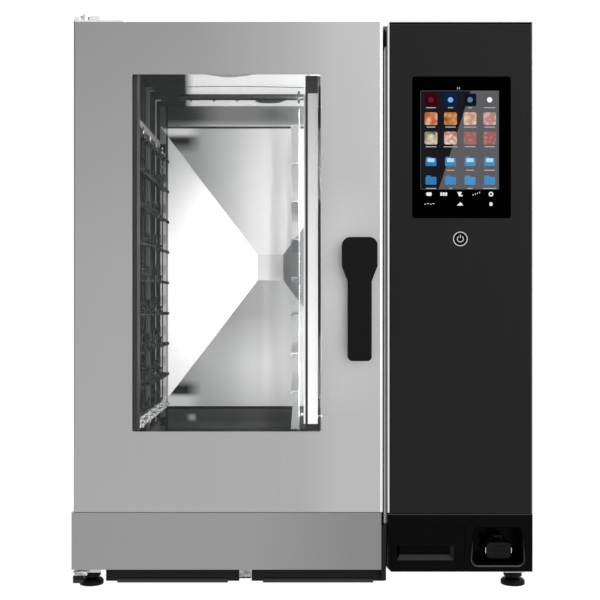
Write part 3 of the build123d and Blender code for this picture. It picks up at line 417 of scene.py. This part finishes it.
def make_materials():
    """The finishes by name: those of the record's material slots, and others for single nodes."""
    m = {}
    m["steel_casing"] = brushed("steel_casing", (0.385, 0.385, 0.388), "Z", contrast=0.02)
    m["steel_top"] = brushed("steel_top", (0.25, 0.25, 0.254), "Y", contrast=0.05)
    band = brushed("steel_band", (0.23, 0.23, 0.232), "X", 0.42, contrast=0.03)
    band.tint(band.ramp("X", 0.10, -0.10), (0.30, 0.30, 0.302))
    m["steel_band"] = band
    trim = brushed("trim_steel", (0.66, 0.66, 0.66), "Z", 0.25, contrast=0.02)
    # painted shade on the trim's inner edge, where it borders the gap
    gap_shade_edge = trim.ramp("X", 0.1576, 0.1573)
    trim.tint(gap_shade_edge, (0.12, 0.12, 0.12))
    trim.matt(gap_shade_edge)
    m["steel_bright"] = trim
    door = brushed("steel_door", (0.385, 0.385, 0.388), "Z", contrast=0.02)
    # painted light: lighter towards the right, painted shade at the top left, a painted highlight patch on
    # the right half, and a painted highlight on the edge that faces right
    door.tint(door.ramp("X", 0.0, 0.06), (0.445, 0.445, 0.447))
    door.tint(door.both(door.ramp("X", 0.0, -0.20), door.ramp("Z", 0.60, 1.04)), (0.31, 0.31, 0.312))
    door.tint(door.spot({"X": (0.075, 0.075), "Z": (0.54, 0.22)}), (0.62, 0.62, 0.62))
    door.tint(door.ramp("X", 0.15, 0.26, "Normal"), (0.70, 0.70, 0.70))
    m["steel_door"] = door
    m["cavity_back"] = cavity_back()
    m["cavity_liner"] = cavity_liner_steel()
    m["rack_left"] = rack_left_steel()
    m["rack_right"] = rack_right_steel()
    m["mottled_steel"] = mottled_steel()
    bar = rolled("spray_bar_steel", (0.045, 0.045, 0.045), 0.25)
    # painted highlight: a lighter stripe where the bar faces a little downwards
    bar.tint(bar.stripe("Z", -0.22, 0.20, "Normal"), (0.13, 0.13, 0.13))
    m["spray_bar"] = bar
    m["cavity_steel"] = rolled("cavity_steel", (0.80, 0.80, 0.80), 0.25)
    m["chrome"] = rolled("chrome", (0.86, 0.86, 0.87), 0.10)
    zinc = Surface("zinc_steel", (0.58, 0.60, 0.63), 1.0, 0.35)
    zinc.tint(zinc.spread(zinc.noise((180.0, 180.0, 180.0), detail=5.0), 0.0, 0.6), (0.42, 0.45, 0.50))
    zinc.bump(zinc.noise((600.0, 600.0, 600.0)), 0.00003, 0.3)
    m["zinc_steel"] = zinc
    panel = Surface("black_panel", (0.0085, 0.0085, 0.0088), 0.0, 0.42, Specular_IOR_Level=0.09)
    panel.rough(panel.spread(panel.noise((30.0, 30.0, 2.0), detail=5.0), 0.38, 0.47))
    panel.tint(panel.spread(panel.noise((260.0, 260.0, 3.0)), 0.0, 0.5), (0.0105, 0.0105, 0.011))
    panel.bump(panel.noise((2200.0, 2200.0, 2200.0), detail=2.0), 0.00002, 0.35)
    m["black_panel"] = panel
    m["gloss_black"] = moulded("gloss_black", *GLOSS_BLACK, Specular_IOR_Level=0.035)
    m["matt_black"] = moulded("matt_black", *MATT_BLACK, Specular_IOR_Level=0.07)
    plinth = moulded("plinth_black", (0.0070, 0.0070, 0.0072), 0.5, 0.00006, 1100.0, Specular_IOR_Level=0.1)
    lip = plinth.both(plinth.ramp("Y", -0.3452, -0.3460), plinth.ramp("Z", 0.016, 0.0156))
    plinth.tint(lip, (0.030, 0.030, 0.031))
    m["plinth_black"] = plinth
    m["drawer_black"] = drawer_black()
    m["base_black"] = base_black()
    m["black_rubber"] = moulded("black_rubber", (0.010, 0.010, 0.010), 0.62, 0.00008, 900.0)
    m["gasket_rubber"] = moulded("gasket_rubber", (0.012, 0.012, 0.013), 0.50, 0.00006, 700.0)
    m["dark_plastic"] = moulded("dark_plastic", (0.030, 0.030, 0.032), 0.42, Specular_IOR_Level=0.2)
    m["shower_plastic"] = moulded("shower_plastic", (0.0042, 0.0042, 0.0044), 0.40, Specular_IOR_Level=0.08)
    m["grey_plastic"] = moulded("grey_plastic", (0.23, 0.24, 0.25), 0.45)
    glass_black = (0.0003, 0.0003, 0.0004)
    m["screen_glass"] = moulded("screen_glass", glass_black, 0.05, 0.000002, 60.0, Specular_IOR_Level=0.0)
    glass = Surface("door_glass", (0.03, 0.035, 0.035), 0.0, 0.03, Alpha=0.10)
    glass.rough(glass.spread(glass.noise((14.0, 14.0, 14.0)), 0.02, 0.05))
    m["door_glass"] = glass
    lens = Surface("light_lens", (0.46, 0.46, 0.46), 0.0, 0.35)
    lens.glow(lens.ramp("Z", 0.98, 0.48), 0.75)
    lens.bump(lens.noise((5.0, 5.0, 260.0), detail=1.0), 0.0004, 0.3)
    m["light_lens"] = lens
    wool = Surface("wool", (0.52, 0.44, 0.26), 0.0, 0.95)
    wool.tint(wool.spread(wool.noise((120.0, 120.0, 400.0), detail=8.0), 0.0, 0.9), (0.30, 0.24, 0.13))
    wool.bump(wool.noise((300.0, 300.0, 900.0), detail=8.0), 0.002, 0.7)
    m["wool"] = wool
    paint = moulded("motor_paint", (0.060, 0.070, 0.085), 0.45, 0.0001, 500.0)
    paint.worn_edges((0.35, 0.36, 0.38), 0.5)
    m["motor_paint"] = paint
    return m


MATERIALS = make_materials()


def paint_frame():
    """Gives every CAD node the finished material of its record slot."""
    slots = {row["node"]: row["material_slot"] for row in frame["record"]["subparts"]}
    special = {
        "top_panel": "steel_top", "column_trim": "steel_bright", "cavity_rear_panel": "cavity_back",
        "cavity_liner": "cavity_liner", "rack_left": "rack_left", "rack_right": "rack_right",
        "spray_bar": "spray_bar", "hand_shower": "shower_plastic",
        "plinth_bars": "plinth_black", "door_shell": "steel_door",
        "front_brackets": "mottled_steel", "detergent_drawer": "drawer_black", "column_base": "base_black",
    }
    for foot in ("front_left", "front_right", "rear_left", "rear_right"):
        special[f"foot_{foot}"] = "matt_black"
    for name, node in NODES.items():
        surface = MATERIALS.get(special.get(name, slots.get(name)), MATERIALS["zinc_steel"])
        node.data.materials.clear()
        node.data.materials.append(surface.mat)
        for polygon in node.data.polygons:
            polygon.use_smooth = True
        node.data.set_sharp_from_angle(angle=math.radians(28))


paint_frame()


# ---- mesh helpers -------------------------------------------------------
def link_mesh(name, verts, faces, surface, body):
    """A piece from its vertices and faces, riding on a body."""
    mesh = bpy.data.meshes.new(name)
    mesh.from_pydata(verts, [], faces)
    mesh.validate()
    mesh.update()
    obj = bpy.data.objects.new(name, mesh)
    bpy.context.scene.collection.objects.link(obj)
    obj.data.materials.append(surface.mat)
    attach(obj, body)
    return obj


def rounded_outline(width, height, radius, steps=6):
    """Corner-rounded rectangle round the origin, as (x, z) points, anticlockwise."""
    points = []
    for cx, cz, start in ((1, 1, 0), (-1, 1, 90), (-1, -1, 180), (1, -1, 270)):
        for step in range(steps + 1):
            turn = math.radians(start + 90 * step / steps)
            points.append((
                cx * (width / 2 - radius) + radius * math.cos(turn),
                cz * (height / 2 - radius) + radius * math.sin(turn),
            ))
    return points


def front_plate(name, outline, centre, y_back, y_front, surface, body):
    """A thin plate facing the front: an (x, z) outline round a centre, between two y values."""
    count = len(outline)
    verts = [(centre[0] + x, y_front, centre[1] + z) for x, z in outline]
    verts += [(centre[0] + x, y_back, centre[1] + z) for x, z in outline]
    faces = [list(range(count)), list(range(2 * count - 1, count - 1, -1))]
    faces += [[i, i + count, (i + 1) % count + count, (i + 1) % count] for i in range(count)]
    return link_mesh(name, verts, faces, surface, body)


def ring_band(radius, width, start, stop, steps):
    """Outer and inner edge of a flat ring or ring sector, as (x, z) points."""
    turns = [math.radians(start + (stop - start) * i / steps) for i in range(steps + 1)]
    return [[(edge * math.cos(t), edge * math.sin(t)) for t in turns]
            for edge in (radius + width / 2, radius - width / 2)]


def ring_plate(name, radius, width, start, stop, centre, y_back, y_front, surface, body, steps=48):
    """A thin ring or ring sector facing the front."""
    outer, inner = ring_band(radius, width, start, stop, steps)
    verts, faces = [], []
    for y in (y_front, y_back):
        verts += [(centre[0] + x, y, centre[1] + z) for x, z in outer]
        verts += [(centre[0] + x, y, centre[1] + z) for x, z in inner]
    n = steps + 1
    for i in range(steps):
        faces.append([i, i + 1, n + i + 1, n + i])
        faces.append([2 * n + i + 1, 2 * n + i, 3 * n + i, 3 * n + i + 1])
        faces.append([i + 1, i, 2 * n + i, 2 * n + i + 1])
        faces.append([n + i, n + i + 1, 3 * n + i + 1, 3 * n + i])
    if stop - start < 360:
        faces.append([0, n, 3 * n, 2 * n])
        faces.append([n - 1, 3 * n - 1, 4 * n - 1, 2 * n - 1])
    return link_mesh(name, verts, faces, surface, body)


# ---- touchscreen --------------------------------------------------------
def food_tile(name, colors, scale):
    """Blurred picture-like tile: soft patches of warm colours."""
    s = glowing(name, colors[0], 0.9)
    mapping = s.add("ShaderNodeMapping")
    mapping.inputs["Scale"].default_value = (scale, scale, scale)
    s.link(s.coords.outputs["Object"], mapping.inputs["Vector"])
    cells = s.add("ShaderNodeTexVoronoi", feature="SMOOTH_F1")
    cells.inputs["Scale"].default_value = 1.0
    s.link(mapping.outputs["Vector"], cells.inputs["Vector"])
    ramp = s.add("ShaderNodeValToRGB")
    ramp.color_ramp.elements[0].color = (*colors[0], 1)
    ramp.color_ramp.elements[0].position = 0.15
    ramp.color_ramp.elements[1].color = (*colors[2], 1)
    ramp.color_ramp.elements[1].position = 0.75
    middle = ramp.color_ramp.elements.new(0.45)
    middle.color = (*colors[1], 1)
    s.link(cells.outputs["Distance"], ramp.inputs["Fac"])
    s.link(ramp.outputs["Color"], s.bsdf.inputs["Emission Color"])
    return s


def touchscreen():
    """Screen picture: wallpaper with a glowing painted reflection of glare across its right part, tiles,
    captions as plain dashes, and a row of generic glyphs.
    """
    low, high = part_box("touchscreen_glass")
    face = low.y
    left, top = low.x + 15.6 * MM, high.z - 26.6 * MM
    width, height = 142.8 * MM, 180.5 * MM
    layer = 0.05 * MM

    def plate(name, outline, centre, level, surface):
        return front_plate(name, outline, centre, face - level * layer, face - (level + 1) * layer,
                           surface, "oven")

    paper_dark = glowing("screen_paper_dark", (0.010, 0.010, 0.014), 1.0)
    painted_glare = glowing("screen_painted_glare", (0.105, 0.102, 0.115), 1.0)
    border = glowing("screen_border", (0.085, 0.083, 0.095), 1.0)
    centre = (left + width / 2, top - height / 2)
    plate("screen_rim", rounded_outline(width + 1.6 * MM, height + 1.6 * MM, 1.2 * MM), centre, 0, border)
    plate("screen_paper", rounded_outline(width, height, 0.8 * MM), centre, 1, paper_dark)
    half_w, half_h = width / 2, height / 2
    # painted reflection: a glowing lighter field slanting across the right part of the screen
    slant = [(half_w, half_h), (0.14 * width, half_h), (-0.27 * width, -half_h), (half_w, -half_h)]
    plate("screen_glare_field", slant, centre, 2, painted_glare)

    caption = glowing("screen_caption", (0.45, 0.45, 0.46), 1.0)
    glyph = glowing("screen_glyph", (0.80, 0.80, 0.80), 1.0)
    columns = [left + (18.5 + 36.0 * i) * MM for i in range(4)]
    rows = [top - offset * MM for offset in (16.2, 50.9, 86.6, 130.3, 164.7)]
    size = 23.4 * MM
    tile = rounded_outline(size, size, 3.4 * MM)

    first = [(0.035, 0.002, 0.004), (0.003, 0.016, 0.055), (0.004, 0.008, 0.014), (0.10, 0.10, 0.105)]
    marks = [(0.16, 0.010, 0.014), (0.20, 0.42, 0.70), (0.10, 0.20, 0.30), (0.85, 0.85, 0.85)]
    for i, x in enumerate(columns):
        plate(f"tile_function_{i}", tile, (x, rows[0]), 3, glowing(f"tile_back_{i}", first[i], 1.0))
        disc = ring_band(3.2 * MM, 3.4 * MM, 0, 360, 24)[0]
        plate(f"tile_mark_{i}", disc[:-1], (x, rows[0]), 4, glowing(f"tile_mark_{i}", marks[i], 1.0))
    warm = [
        ((0.75, 0.55, 0.42), (0.62, 0.16, 0.04), (0.30, 0.05, 0.02)),
        ((0.70, 0.36, 0.16), (0.45, 0.15, 0.04), (0.06, 0.03, 0.02)),
        ((0.80, 0.62, 0.52), (0.72, 0.40, 0.28), (0.45, 0.20, 0.12)),
        ((0.66, 0.50, 0.46), (0.50, 0.24, 0.20), (0.36, 0.22, 0.18)),
        ((0.75, 0.70, 0.58), (0.50, 0.46, 0.30), (0.10, 0.10, 0.05)),
        ((0.75, 0.66, 0.62), (0.60, 0.25, 0.20), (0.35, 0.10, 0.08)),
        ((0.45, 0.20, 0.19), (0.36, 0.14, 0.12), (0.26, 0.12, 0.11)),
        ((0.48, 0.22, 0.20), (0.38, 0.10, 0.10), (0.30, 0.14, 0.13)),
    ]
    for index, colors in enumerate(warm):
        x = columns[index % 4]
        z = rows[1 + index // 4]
        plate(f"tile_dish_{index}", tile, (x, z), 3, food_tile(f"dish_{index}", colors, 95.0 + 11 * index))
    blues = [(0.030, 0.18, 0.42), (0.05, 0.24, 0.50), (0.07, 0.27, 0.52), (0.06, 0.25, 0.50)]
    pale = glowing("folder_pale", (0.45, 0.68, 0.86), 1.0)
    for row in (3, 4):
        for i, x in enumerate(columns):
            blue = glowing(f"folder_{row}_{i}", blues[i], 1.0)
            body = rounded_outline(20 * MM, 14.5 * MM, 1.6 * MM)
            tab = rounded_outline(9 * MM, 5 * MM, 1.2 * MM)
            plate(f"folder_tab_{row}_{i}", tab, (x - 4.5 * MM, rows[row] + 6.6 * MM), 3, blue)
            plate(f"folder_body_{row}_{i}", body, (x, rows[row] - 0.5 * MM), 4, blue)
            if row == 3:
                sheet_shape = rounded_outline(13 * MM, 7 * MM, 1.0 * MM)
                plate(f"folder_sheet_{i}", sheet_shape, (x, rows[row] + 3.0 * MM), 5, pale)
    lengths = (18, 10, 8, 21, 16, 19, 24, 20, 20, 25, 20, 19, 0, 14, 15, 20, 19, 6, 10, 24)
    drops = (14.5, 15.5, 16.0, 15.5, 14.5)
    for index, long in enumerate(lengths):
        if long:
            dash = rounded_outline(long * MM, 1.5 * MM, 0.5 * MM, 2)
            spot = (columns[index % 4], rows[index // 4] - drops[index // 4] * MM)
            plate(f"caption_{index}", dash, spot, 3, caption)

    def glyph_at(name, outline, x, z):
        plate(name, outline, (left + x * MM, top - z * MM), 2, glyph)

    glyph_at("glyph_bubble", rounded_outline(10 * MM, 6.5 * MM, 2.2 * MM), 14.8, 189.8)
    for step in range(3):
        bar = rounded_outline(3.6 * MM, 6.2 * MM, 0.6 * MM, 2)
        glyph_at(f"glyph_bar_{step}", bar, 37.6 + 4.4 * step, 189.8)
    funnel = [(-5 * MM, 4 * MM), (-1.6 * MM, -4 * MM), (5 * MM, -4 * MM), (5 * MM, -2 * MM),
              (1.4 * MM, -1 * MM), (3.4 * MM, 4 * MM)]
    glyph_at("glyph_funnel", list(reversed(funnel)), 71.9, 189.8)
    for step, rise in enumerate((-1.5, 0.0, 1.5, 3.0)):
        dot = rounded_outline(1.3 * MM, 2.6 * MM, 0.5 * MM, 2)
        glyph_at(f"glyph_dot_{step}", dot, 96 + 4 * step, 189.8 - rise)
    ring_plate("glyph_ring", 3.2 * MM, 2.2 * MM, 0, 360, (left + 129 * MM, top - 189.8 * MM),
               face - 2 * layer, face - 3 * layer, glyph, "oven")
    for step in range(4):
        wave = rounded_outline(3.4 * MM, 1.0 * MM, 0.4 * MM, 2)
        glyph_at(f"glyph_wave_{step}", wave, 8 + 5 * step, 208.2 - (step % 2))
    hill = [(-6 * MM, -2.6 * MM), (6 * MM, -2.6 * MM), (3.4 * MM, 1.2 * MM),
            (0.6 * MM, 3.4 * MM), (-2.6 * MM, 0.6 * MM)]
    glyph_at("glyph_hill", hill, 71.9, 208.2)
    glyph_at("glyph_drop", rounded_outline(5.4 * MM, 7 * MM, 2.4 * MM), 129, 208.2)
    for step in range(2):
        tick = rounded_outline(1.6 * MM, 3.4 * MM, 0.4 * MM, 2)
        plate(f"status_tick_{step}", tick, (left + (67.5 + 3.4 * step) * MM, top + 5.2 * MM), 1, caption)


touchscreen()


def power_symbol():
    """White ring on the button with an open arc and a bar in it."""
    low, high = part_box("power_button")
    centre = ((low.x + high.x) / 2, (low.z + high.z) / 2)
    white = glowing("button_white", (0.62, 0.62, 0.62), 0.9)
    y = low.y
    skin = 0.12 * MM
    ring_plate("button_ring", 12.6 * MM, 1.7 * MM, 0, 360, centre, y, y - skin,
               white, "button", 64)
    ring_plate("button_arc", 5.6 * MM, 1.5 * MM, 125, 415, centre, y, y - skin,
               white, "button", 40)
    bar = rounded_outline(1.6 * MM, 6.4 * MM, 0.5 * MM, 3)
    bar_centre = (centre[0], centre[1] + 4.6 * MM)
    front_plate("button_bar", bar, bar_centre, y, y - skin, white, "button")


power_symbol()


# ---- small parts --------------------------------------------------------
def crate(name, low, high, surface, body):
    """A box between two corners, in millimetres."""
    x, y, z = zip(low, high)
    verts = [(i * MM, j * MM, k * MM) for i in x for j in y for k in z]
    faces = [(0, 1, 3, 2), (4, 6, 7, 5), (0, 4, 5, 1), (2, 3, 7, 6), (0, 2, 6, 4), (1, 5, 7, 3)]
    return link_mesh(name, verts, faces, surface, body)


def turned(name, profile, centre, axis, surface, body, steps=32, smooth=True):
    """A turned shape: (radius, height) pairs in millimetres, spun about an axis through a centre."""
    order = {"X": (2, 0, 1), "Y": (0, 2, 1), "Z": (0, 1, 2)}[axis]
    flip = -1 if axis == "Y" else 1
    verts, faces = [], []
    for radius, height in profile:
        for i in range(steps):
            turn = 2 * math.pi * i / steps
            local = (radius * math.cos(turn), flip * radius * math.sin(turn), height)
            verts.append(tuple((centre[k] + local[order[k]]) * MM for k in range(3)))
    for row in range(len(profile) - 1):
        for i in range(steps):
            a, b = row * steps + i, row * steps + (i + 1) % steps
            faces.append((a, b, b + steps, a + steps))
    faces.append(tuple(reversed(range(steps))))
    faces.append(tuple(range((len(profile) - 1) * steps, len(profile) * steps)))
    obj = link_mesh(name, verts, faces, surface, body)
    shape = bmesh.new()
    shape.from_mesh(obj.data)
    bmesh.ops.recalc_face_normals(shape, faces=shape.faces)
    shape.to_mesh(obj.data)
    shape.free()
    if smooth:
        for polygon in obj.data.polygons:
            polygon.use_smooth = True
        obj.data.set_sharp_from_angle(angle=math.radians(40))
    return obj


def screw_head(name, centre, axis, side, radius, surface, body="oven"):
    """Domed screw head with a hexagon socket."""
    dome = [(radius, 0), (radius, 0.6), (radius * 0.92, 1.2), (radius * 0.7, 1.8), (radius * 0.46, 2.0),
            (radius * 0.44, 0.9), (0.01, 0.8)]
    turned(name, [(r, side * h) for r, h in dome], centre, axis, surface, body, 24)


def thread(name, centre, axis, radius, span, pitch, surface, body, depth=0.45):
    """Thread ridges round a pin, from one height to another."""
    profile = [(radius - 0.02, span[0])]
    height = span[0]
    while height + pitch <= span[1]:
        profile += [(radius, height), (radius + depth, height + pitch * 0.5), (radius, height + pitch * 0.96)]
        height += pitch
    profile.append((radius - 0.02, span[1]))
    turned(name, profile, centre, axis, surface, body, 40)


def gap_between_door_and_column():
    """Edge strip of the door, black seal lip, the grey strips behind it (a glowing grey of painted light and
    a painted shadow line), and the black stop at its top.
    """
    rubber = MATERIALS["matt_black"]
    lit = {"Emission_Color": (1, 1, 1, 1)}
    # painted light and shade: a grey that glows though it is no lamp, and a dark grey with a faint glow for
    # the painted shadow line
    painted_gap_light = moulded("gap_painted_light_grey", (0.26, 0.26, 0.26), 0.5, Emission_Strength=0.22, **lit)
    edge = moulded("gap_painted_shadow_grey", (0.03, 0.03, 0.03), 0.5,
                   Specular_IOR_Level=0.1, Emission_Strength=0.12, **lit)
    crate("door_edge_strip", (147.55, -358.6, 143), (148.6, -350, 1044.5),
          MATERIALS["steel_door"], "door")
    crate("gap_seal_lip", (149.7, -350, 119), (151.3, -320, 1000), rubber, "oven")
    # strips behind the gap: the glowing grey one is painted light, the dark one is a painted shadow line
    crate("gap_back_strip", (151.6, -343.8, 119), (154.2, -342.6, 1002), painted_gap_light, "oven")
    crate("gap_shadow_line", (154.3, -344.6, 119), (156.6, -343, 1036), edge, "oven")
    wedge = [(152.1, 1036), (155.9, 1030), (156.2, 1004), (153.0, 1002),
             (150.6, 990), (148.9, 990), (149.4, 1012)]
    outline = [(x * MM, z * MM) for x, z in reversed(wedge)]
    front_plate("gap_stop", outline, (0, 0), -345 * MM, -349 * MM, rubber, "oven")


def cavity_seams():
    """Weld seam across the ceiling and the joints above and below the pressed wall."""
    dark = rolled("seam_dark", (0.02, 0.02, 0.02), 0.4)
    light = rolled("seam_light", (0.75, 0.75, 0.75), 0.3)
    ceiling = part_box("cavity_liner")[1].z / MM - 1.6
    verts, faces = [], []
    steps = 24
    for i in range(steps + 1):
        x = -330 + 335 * i / steps
        bow = 13 * (2 * i / steps - 1) ** 2
        for y, z in ((57, ceiling), (59.5, ceiling - 0.8), (62, ceiling)):
            verts.append((x * MM, (y + bow) * MM, z * MM))
    for i in range(steps):
        a = 3 * i
        faces += [(a, a + 1, a + 4, a + 3), (a + 1, a + 2, a + 5, a + 4)]
    link_mesh("ceiling_seam", verts, faces, dark, "oven")
    crate("joint_above", (-342, 298.4, 955.6), (11, 299.9, 959.4), dark, "oven")
    crate("joint_above_lip", (-300, 298.4, 962.2), (11, 300, 964.6), light, "oven")
    crate("joint_below", (-342, 298.6, 264.5), (11, 300, 271.5), dark, "oven")


def light_bar_edge():
    """Dark edge strip beside the light bar, wider in two places, before a grey reveal."""
    dark = MATERIALS["matt_black"]
    reveal = moulded("light_bar_reveal", (0.22, 0.22, 0.22), 0.5)
    crate("light_bar_reveal", (32.4, -350.4, 292), (34.4, -349.4, 947), reveal, "door")
    crate("light_bar_edge", (29.8, -351.2, 292), (32.2, -349.4, 947), dark, "door")
    for index, span in enumerate(((468, 718), (851, 929))):
        crate(f"light_bar_edge_wide_{index}", (32.2, -351.2, span[0]), (34.4, -350.5, span[1]),
              dark, "door")


def plinth_joint():
    """Thin dark rail that shows in the gap between the two plinth bars."""
    crate("plinth_joint", (-116.4, -343.6, 16.2), (-94.6, -341.5, 18.2),
          MATERIALS["plinth_black"], "oven")


def hand_shower_trim():
    """Bright side inlays, and rings on the neck of the hand shower."""
    low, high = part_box("hand_shower")
    chrome = MATERIALS["chrome"]
    x0, x1, y, z = low.x / MM, high.x / MM, low.y / MM, 69
    for side, x in (("left", x0), ("right", x1)):
        middle = x + (-0.2 if side == "left" else 0.2)
        crate(f"shower_inlay_{side}", (middle - 0.5, y + 4, z - 4.5), (middle + 0.5, y + 30, z + 5.5),
              chrome, "shower")
    for step in range(5):
        turned(f"hose_rib_{step}", [(6.4, 0), (7.6, 1.2), (7.6, 2.6), (6.4, 3.8)],
               (363.7, -311.8 + 4.4 * step, z), "Y", MATERIALS["zinc_steel"], "shower")


def service_details():
    """Threads of the inlets, the gland nut, and the screws of the casing."""
    zinc = MATERIALS["zinc_steel"]
    for index, x in enumerate((300, 345)):
        thread(f"inlet_thread_{index}", (x, 0, 150), "Y", 13.2, (398, 417), 1.8,
               zinc, "oven", 0.05)
    turned("gland_nut", [(15.8, 395.2), (17.6, 396), (17.6, 402), (15.8, 403)], (230, 0, 150), "Y",
           MATERIALS["dark_plastic"], "oven", 6, smooth=False)
    spots = [(x, z) for x in (-410, 410) for z in (80, 320, 560, 800, 1025)]
    spots += [(x, 1035) for x in (-200, 0, 200)] + [(x, 70) for x in (-200, 60)]
    for index, (x, z) in enumerate(spots):
        screw_head(f"rear_screw_{index}", (x, 395, z), "Y", 1, 4.2, zinc)
    for side, sign in (("left", -1), ("right", 1)):
        places = [(y, z) for z in (60, 1025) for y in (-270, 60, 370)]
        for index, (y, z) in enumerate(places):
            screw_head(f"side_screw_{side}_{index}", (sign * 425, y, z), "X", sign, 4.2, zinc)
    for index, (x, y) in enumerate(((-400, 370), (0, 380), (400, 370), (400, -330), (200, -330), (400, 0))):
        screw_head(f"lid_screw_{index}", (x, y, 1046.2), "Z", 1, 4.2, zinc)


def hinge_details():
    """Screws and collar of the upper hinge."""
    chrome = MATERIALS["chrome"]
    for index, (x, y) in enumerate(((-410, -275), (-340, -275), (-340, -335))):
        screw_head(f"hinge_screw_{index}", (x, y, 1054.0), "Z", 1, 4.4, chrome, "oven")
    turned("hinge_collar", [(8.2, 1058.4), (10.2, 1058.8), (10.2, 1061), (8.6, 1061.6), (4.2, 1061.6)],
           (-404, -335, 0), "Z", chrome, "oven")


gap_between_door_and_column()
cavity_seams()
light_bar_edge()
plinth_joint()
hand_shower_trim()
service_details()
hinge_details()


# ---- studio -------------------------------------------------------------
def studio():
    """Pale seamless floor and backdrop, soft lights, and the camera square to the front."""
    scene = bpy.context.scene
    floor_surface = glowing("studio_floor", (1.0, 1.0, 1.0), 1.0)
    front, back, bend, top = -6.0, 3.0, 1.5, 6.0
    profile = [(front, 0.0), (back, 0.0)]
    for step in range(1, 13):
        turn = math.radians(90 * step / 12)
        profile.append((back + bend * math.sin(turn), bend - bend * math.cos(turn)))
    profile.append((back + bend, top))
    verts = [(x, y, z) for y, z in profile for x in (-7.0, 7.0)]
    faces = [[2 * i, 2 * i + 1, 2 * i + 3, 2 * i + 2] for i in range(len(profile) - 1)]
    mesh = bpy.data.meshes.new("studio_floor")
    mesh.from_pydata(verts, [], faces)
    for polygon in mesh.polygons:
        polygon.use_smooth = True
    floor = bpy.data.objects.new("studio_floor", mesh)
    scene.collection.objects.link(floor)
    floor.data.materials.append(floor_surface.mat)

    world = bpy.data.worlds.new("studio_world")
    scene.world = world
    world.use_nodes = True
    tree = world.node_tree
    background = tree.nodes["Background"]
    coords = tree.nodes.new("ShaderNodeTexCoord")
    split = tree.nodes.new("ShaderNodeSeparateXYZ")
    ramp = tree.nodes.new("ShaderNodeMapRange")
    ramp.inputs["From Min"].default_value = -0.8
    ramp.inputs["From Max"].default_value = 0.8
    ramp.inputs["To Min"].default_value = 0.44
    ramp.inputs["To Max"].default_value = 1.66
    tree.links.new(coords.outputs["Generated"], split.inputs["Vector"])
    tree.links.new(split.outputs["X"], ramp.inputs["Value"])
    # the light comes stronger from the right, but past the backdrop the picture is plain white
    path = tree.nodes.new("ShaderNodeLightPath")
    seen = tree.nodes.new("ShaderNodeMix")
    seen.inputs["B"].default_value = 1.0
    tree.links.new(path.outputs["Is Camera Ray"], seen.inputs["Factor"])
    tree.links.new(ramp.outputs["Result"], seen.inputs["A"])
    tree.links.new(seen.outputs["Result"], background.inputs["Strength"])
    background.inputs["Color"].default_value = (1, 1, 1, 1)

    def area(name, place, target, width, height, power):
        data = bpy.data.lights.new(name, "AREA")
        data.shape = "RECTANGLE"
        data.size = width
        data.size_y = height
        data.energy = power
        lamp = bpy.data.objects.new(name, data)
        lamp.location = place
        lamp.rotation_euler = (Vector(target) - Vector(place)).to_track_quat("-Z", "Y").to_euler()
        scene.collection.objects.link(lamp)

    area("key_right", (2.6, -3.0, 2.4), (0, 0, 0.6), 1.8, 2.4, 52)
    area("fill_top", (0.0, -0.5, 3.6), (0, 0, 0.5), 3.0, 3.0, 60)
    area("back_wall", (0.0, 1.6, 3.2), (0.0, 4.0, 1.0), 5.0, 1.5, 150)

    low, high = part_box("door_light_housing")
    area("door_light", ((low.x + high.x) / 2, high.y + 0.004, (low.z + high.z) / 2),
         ((low.x + high.x) / 2 - 0.25, high.y + 0.6, (low.z + high.z) / 2), 0.018, 0.62, 6)
    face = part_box("door_shell")[0].y
    aside, distance, eye_height = -0.004, 1.95, 0.533
    view_width = 1.1052   # across the picture, in the plane of the door's face
    sensor = 36.0
    camera_data = bpy.data.cameras.new("camera")
    camera_data.sensor_width = sensor
    camera_data.lens = sensor * distance / view_width
    camera = bpy.data.objects.new("camera", camera_data)
    camera.location = (aside, face - distance, eye_height)
    camera.rotation_euler = (math.radians(90), 0, 0)
    scene.collection.objects.link(camera)
    scene.camera = camera
    scene.view_settings.view_transform = "Standard"


studio()
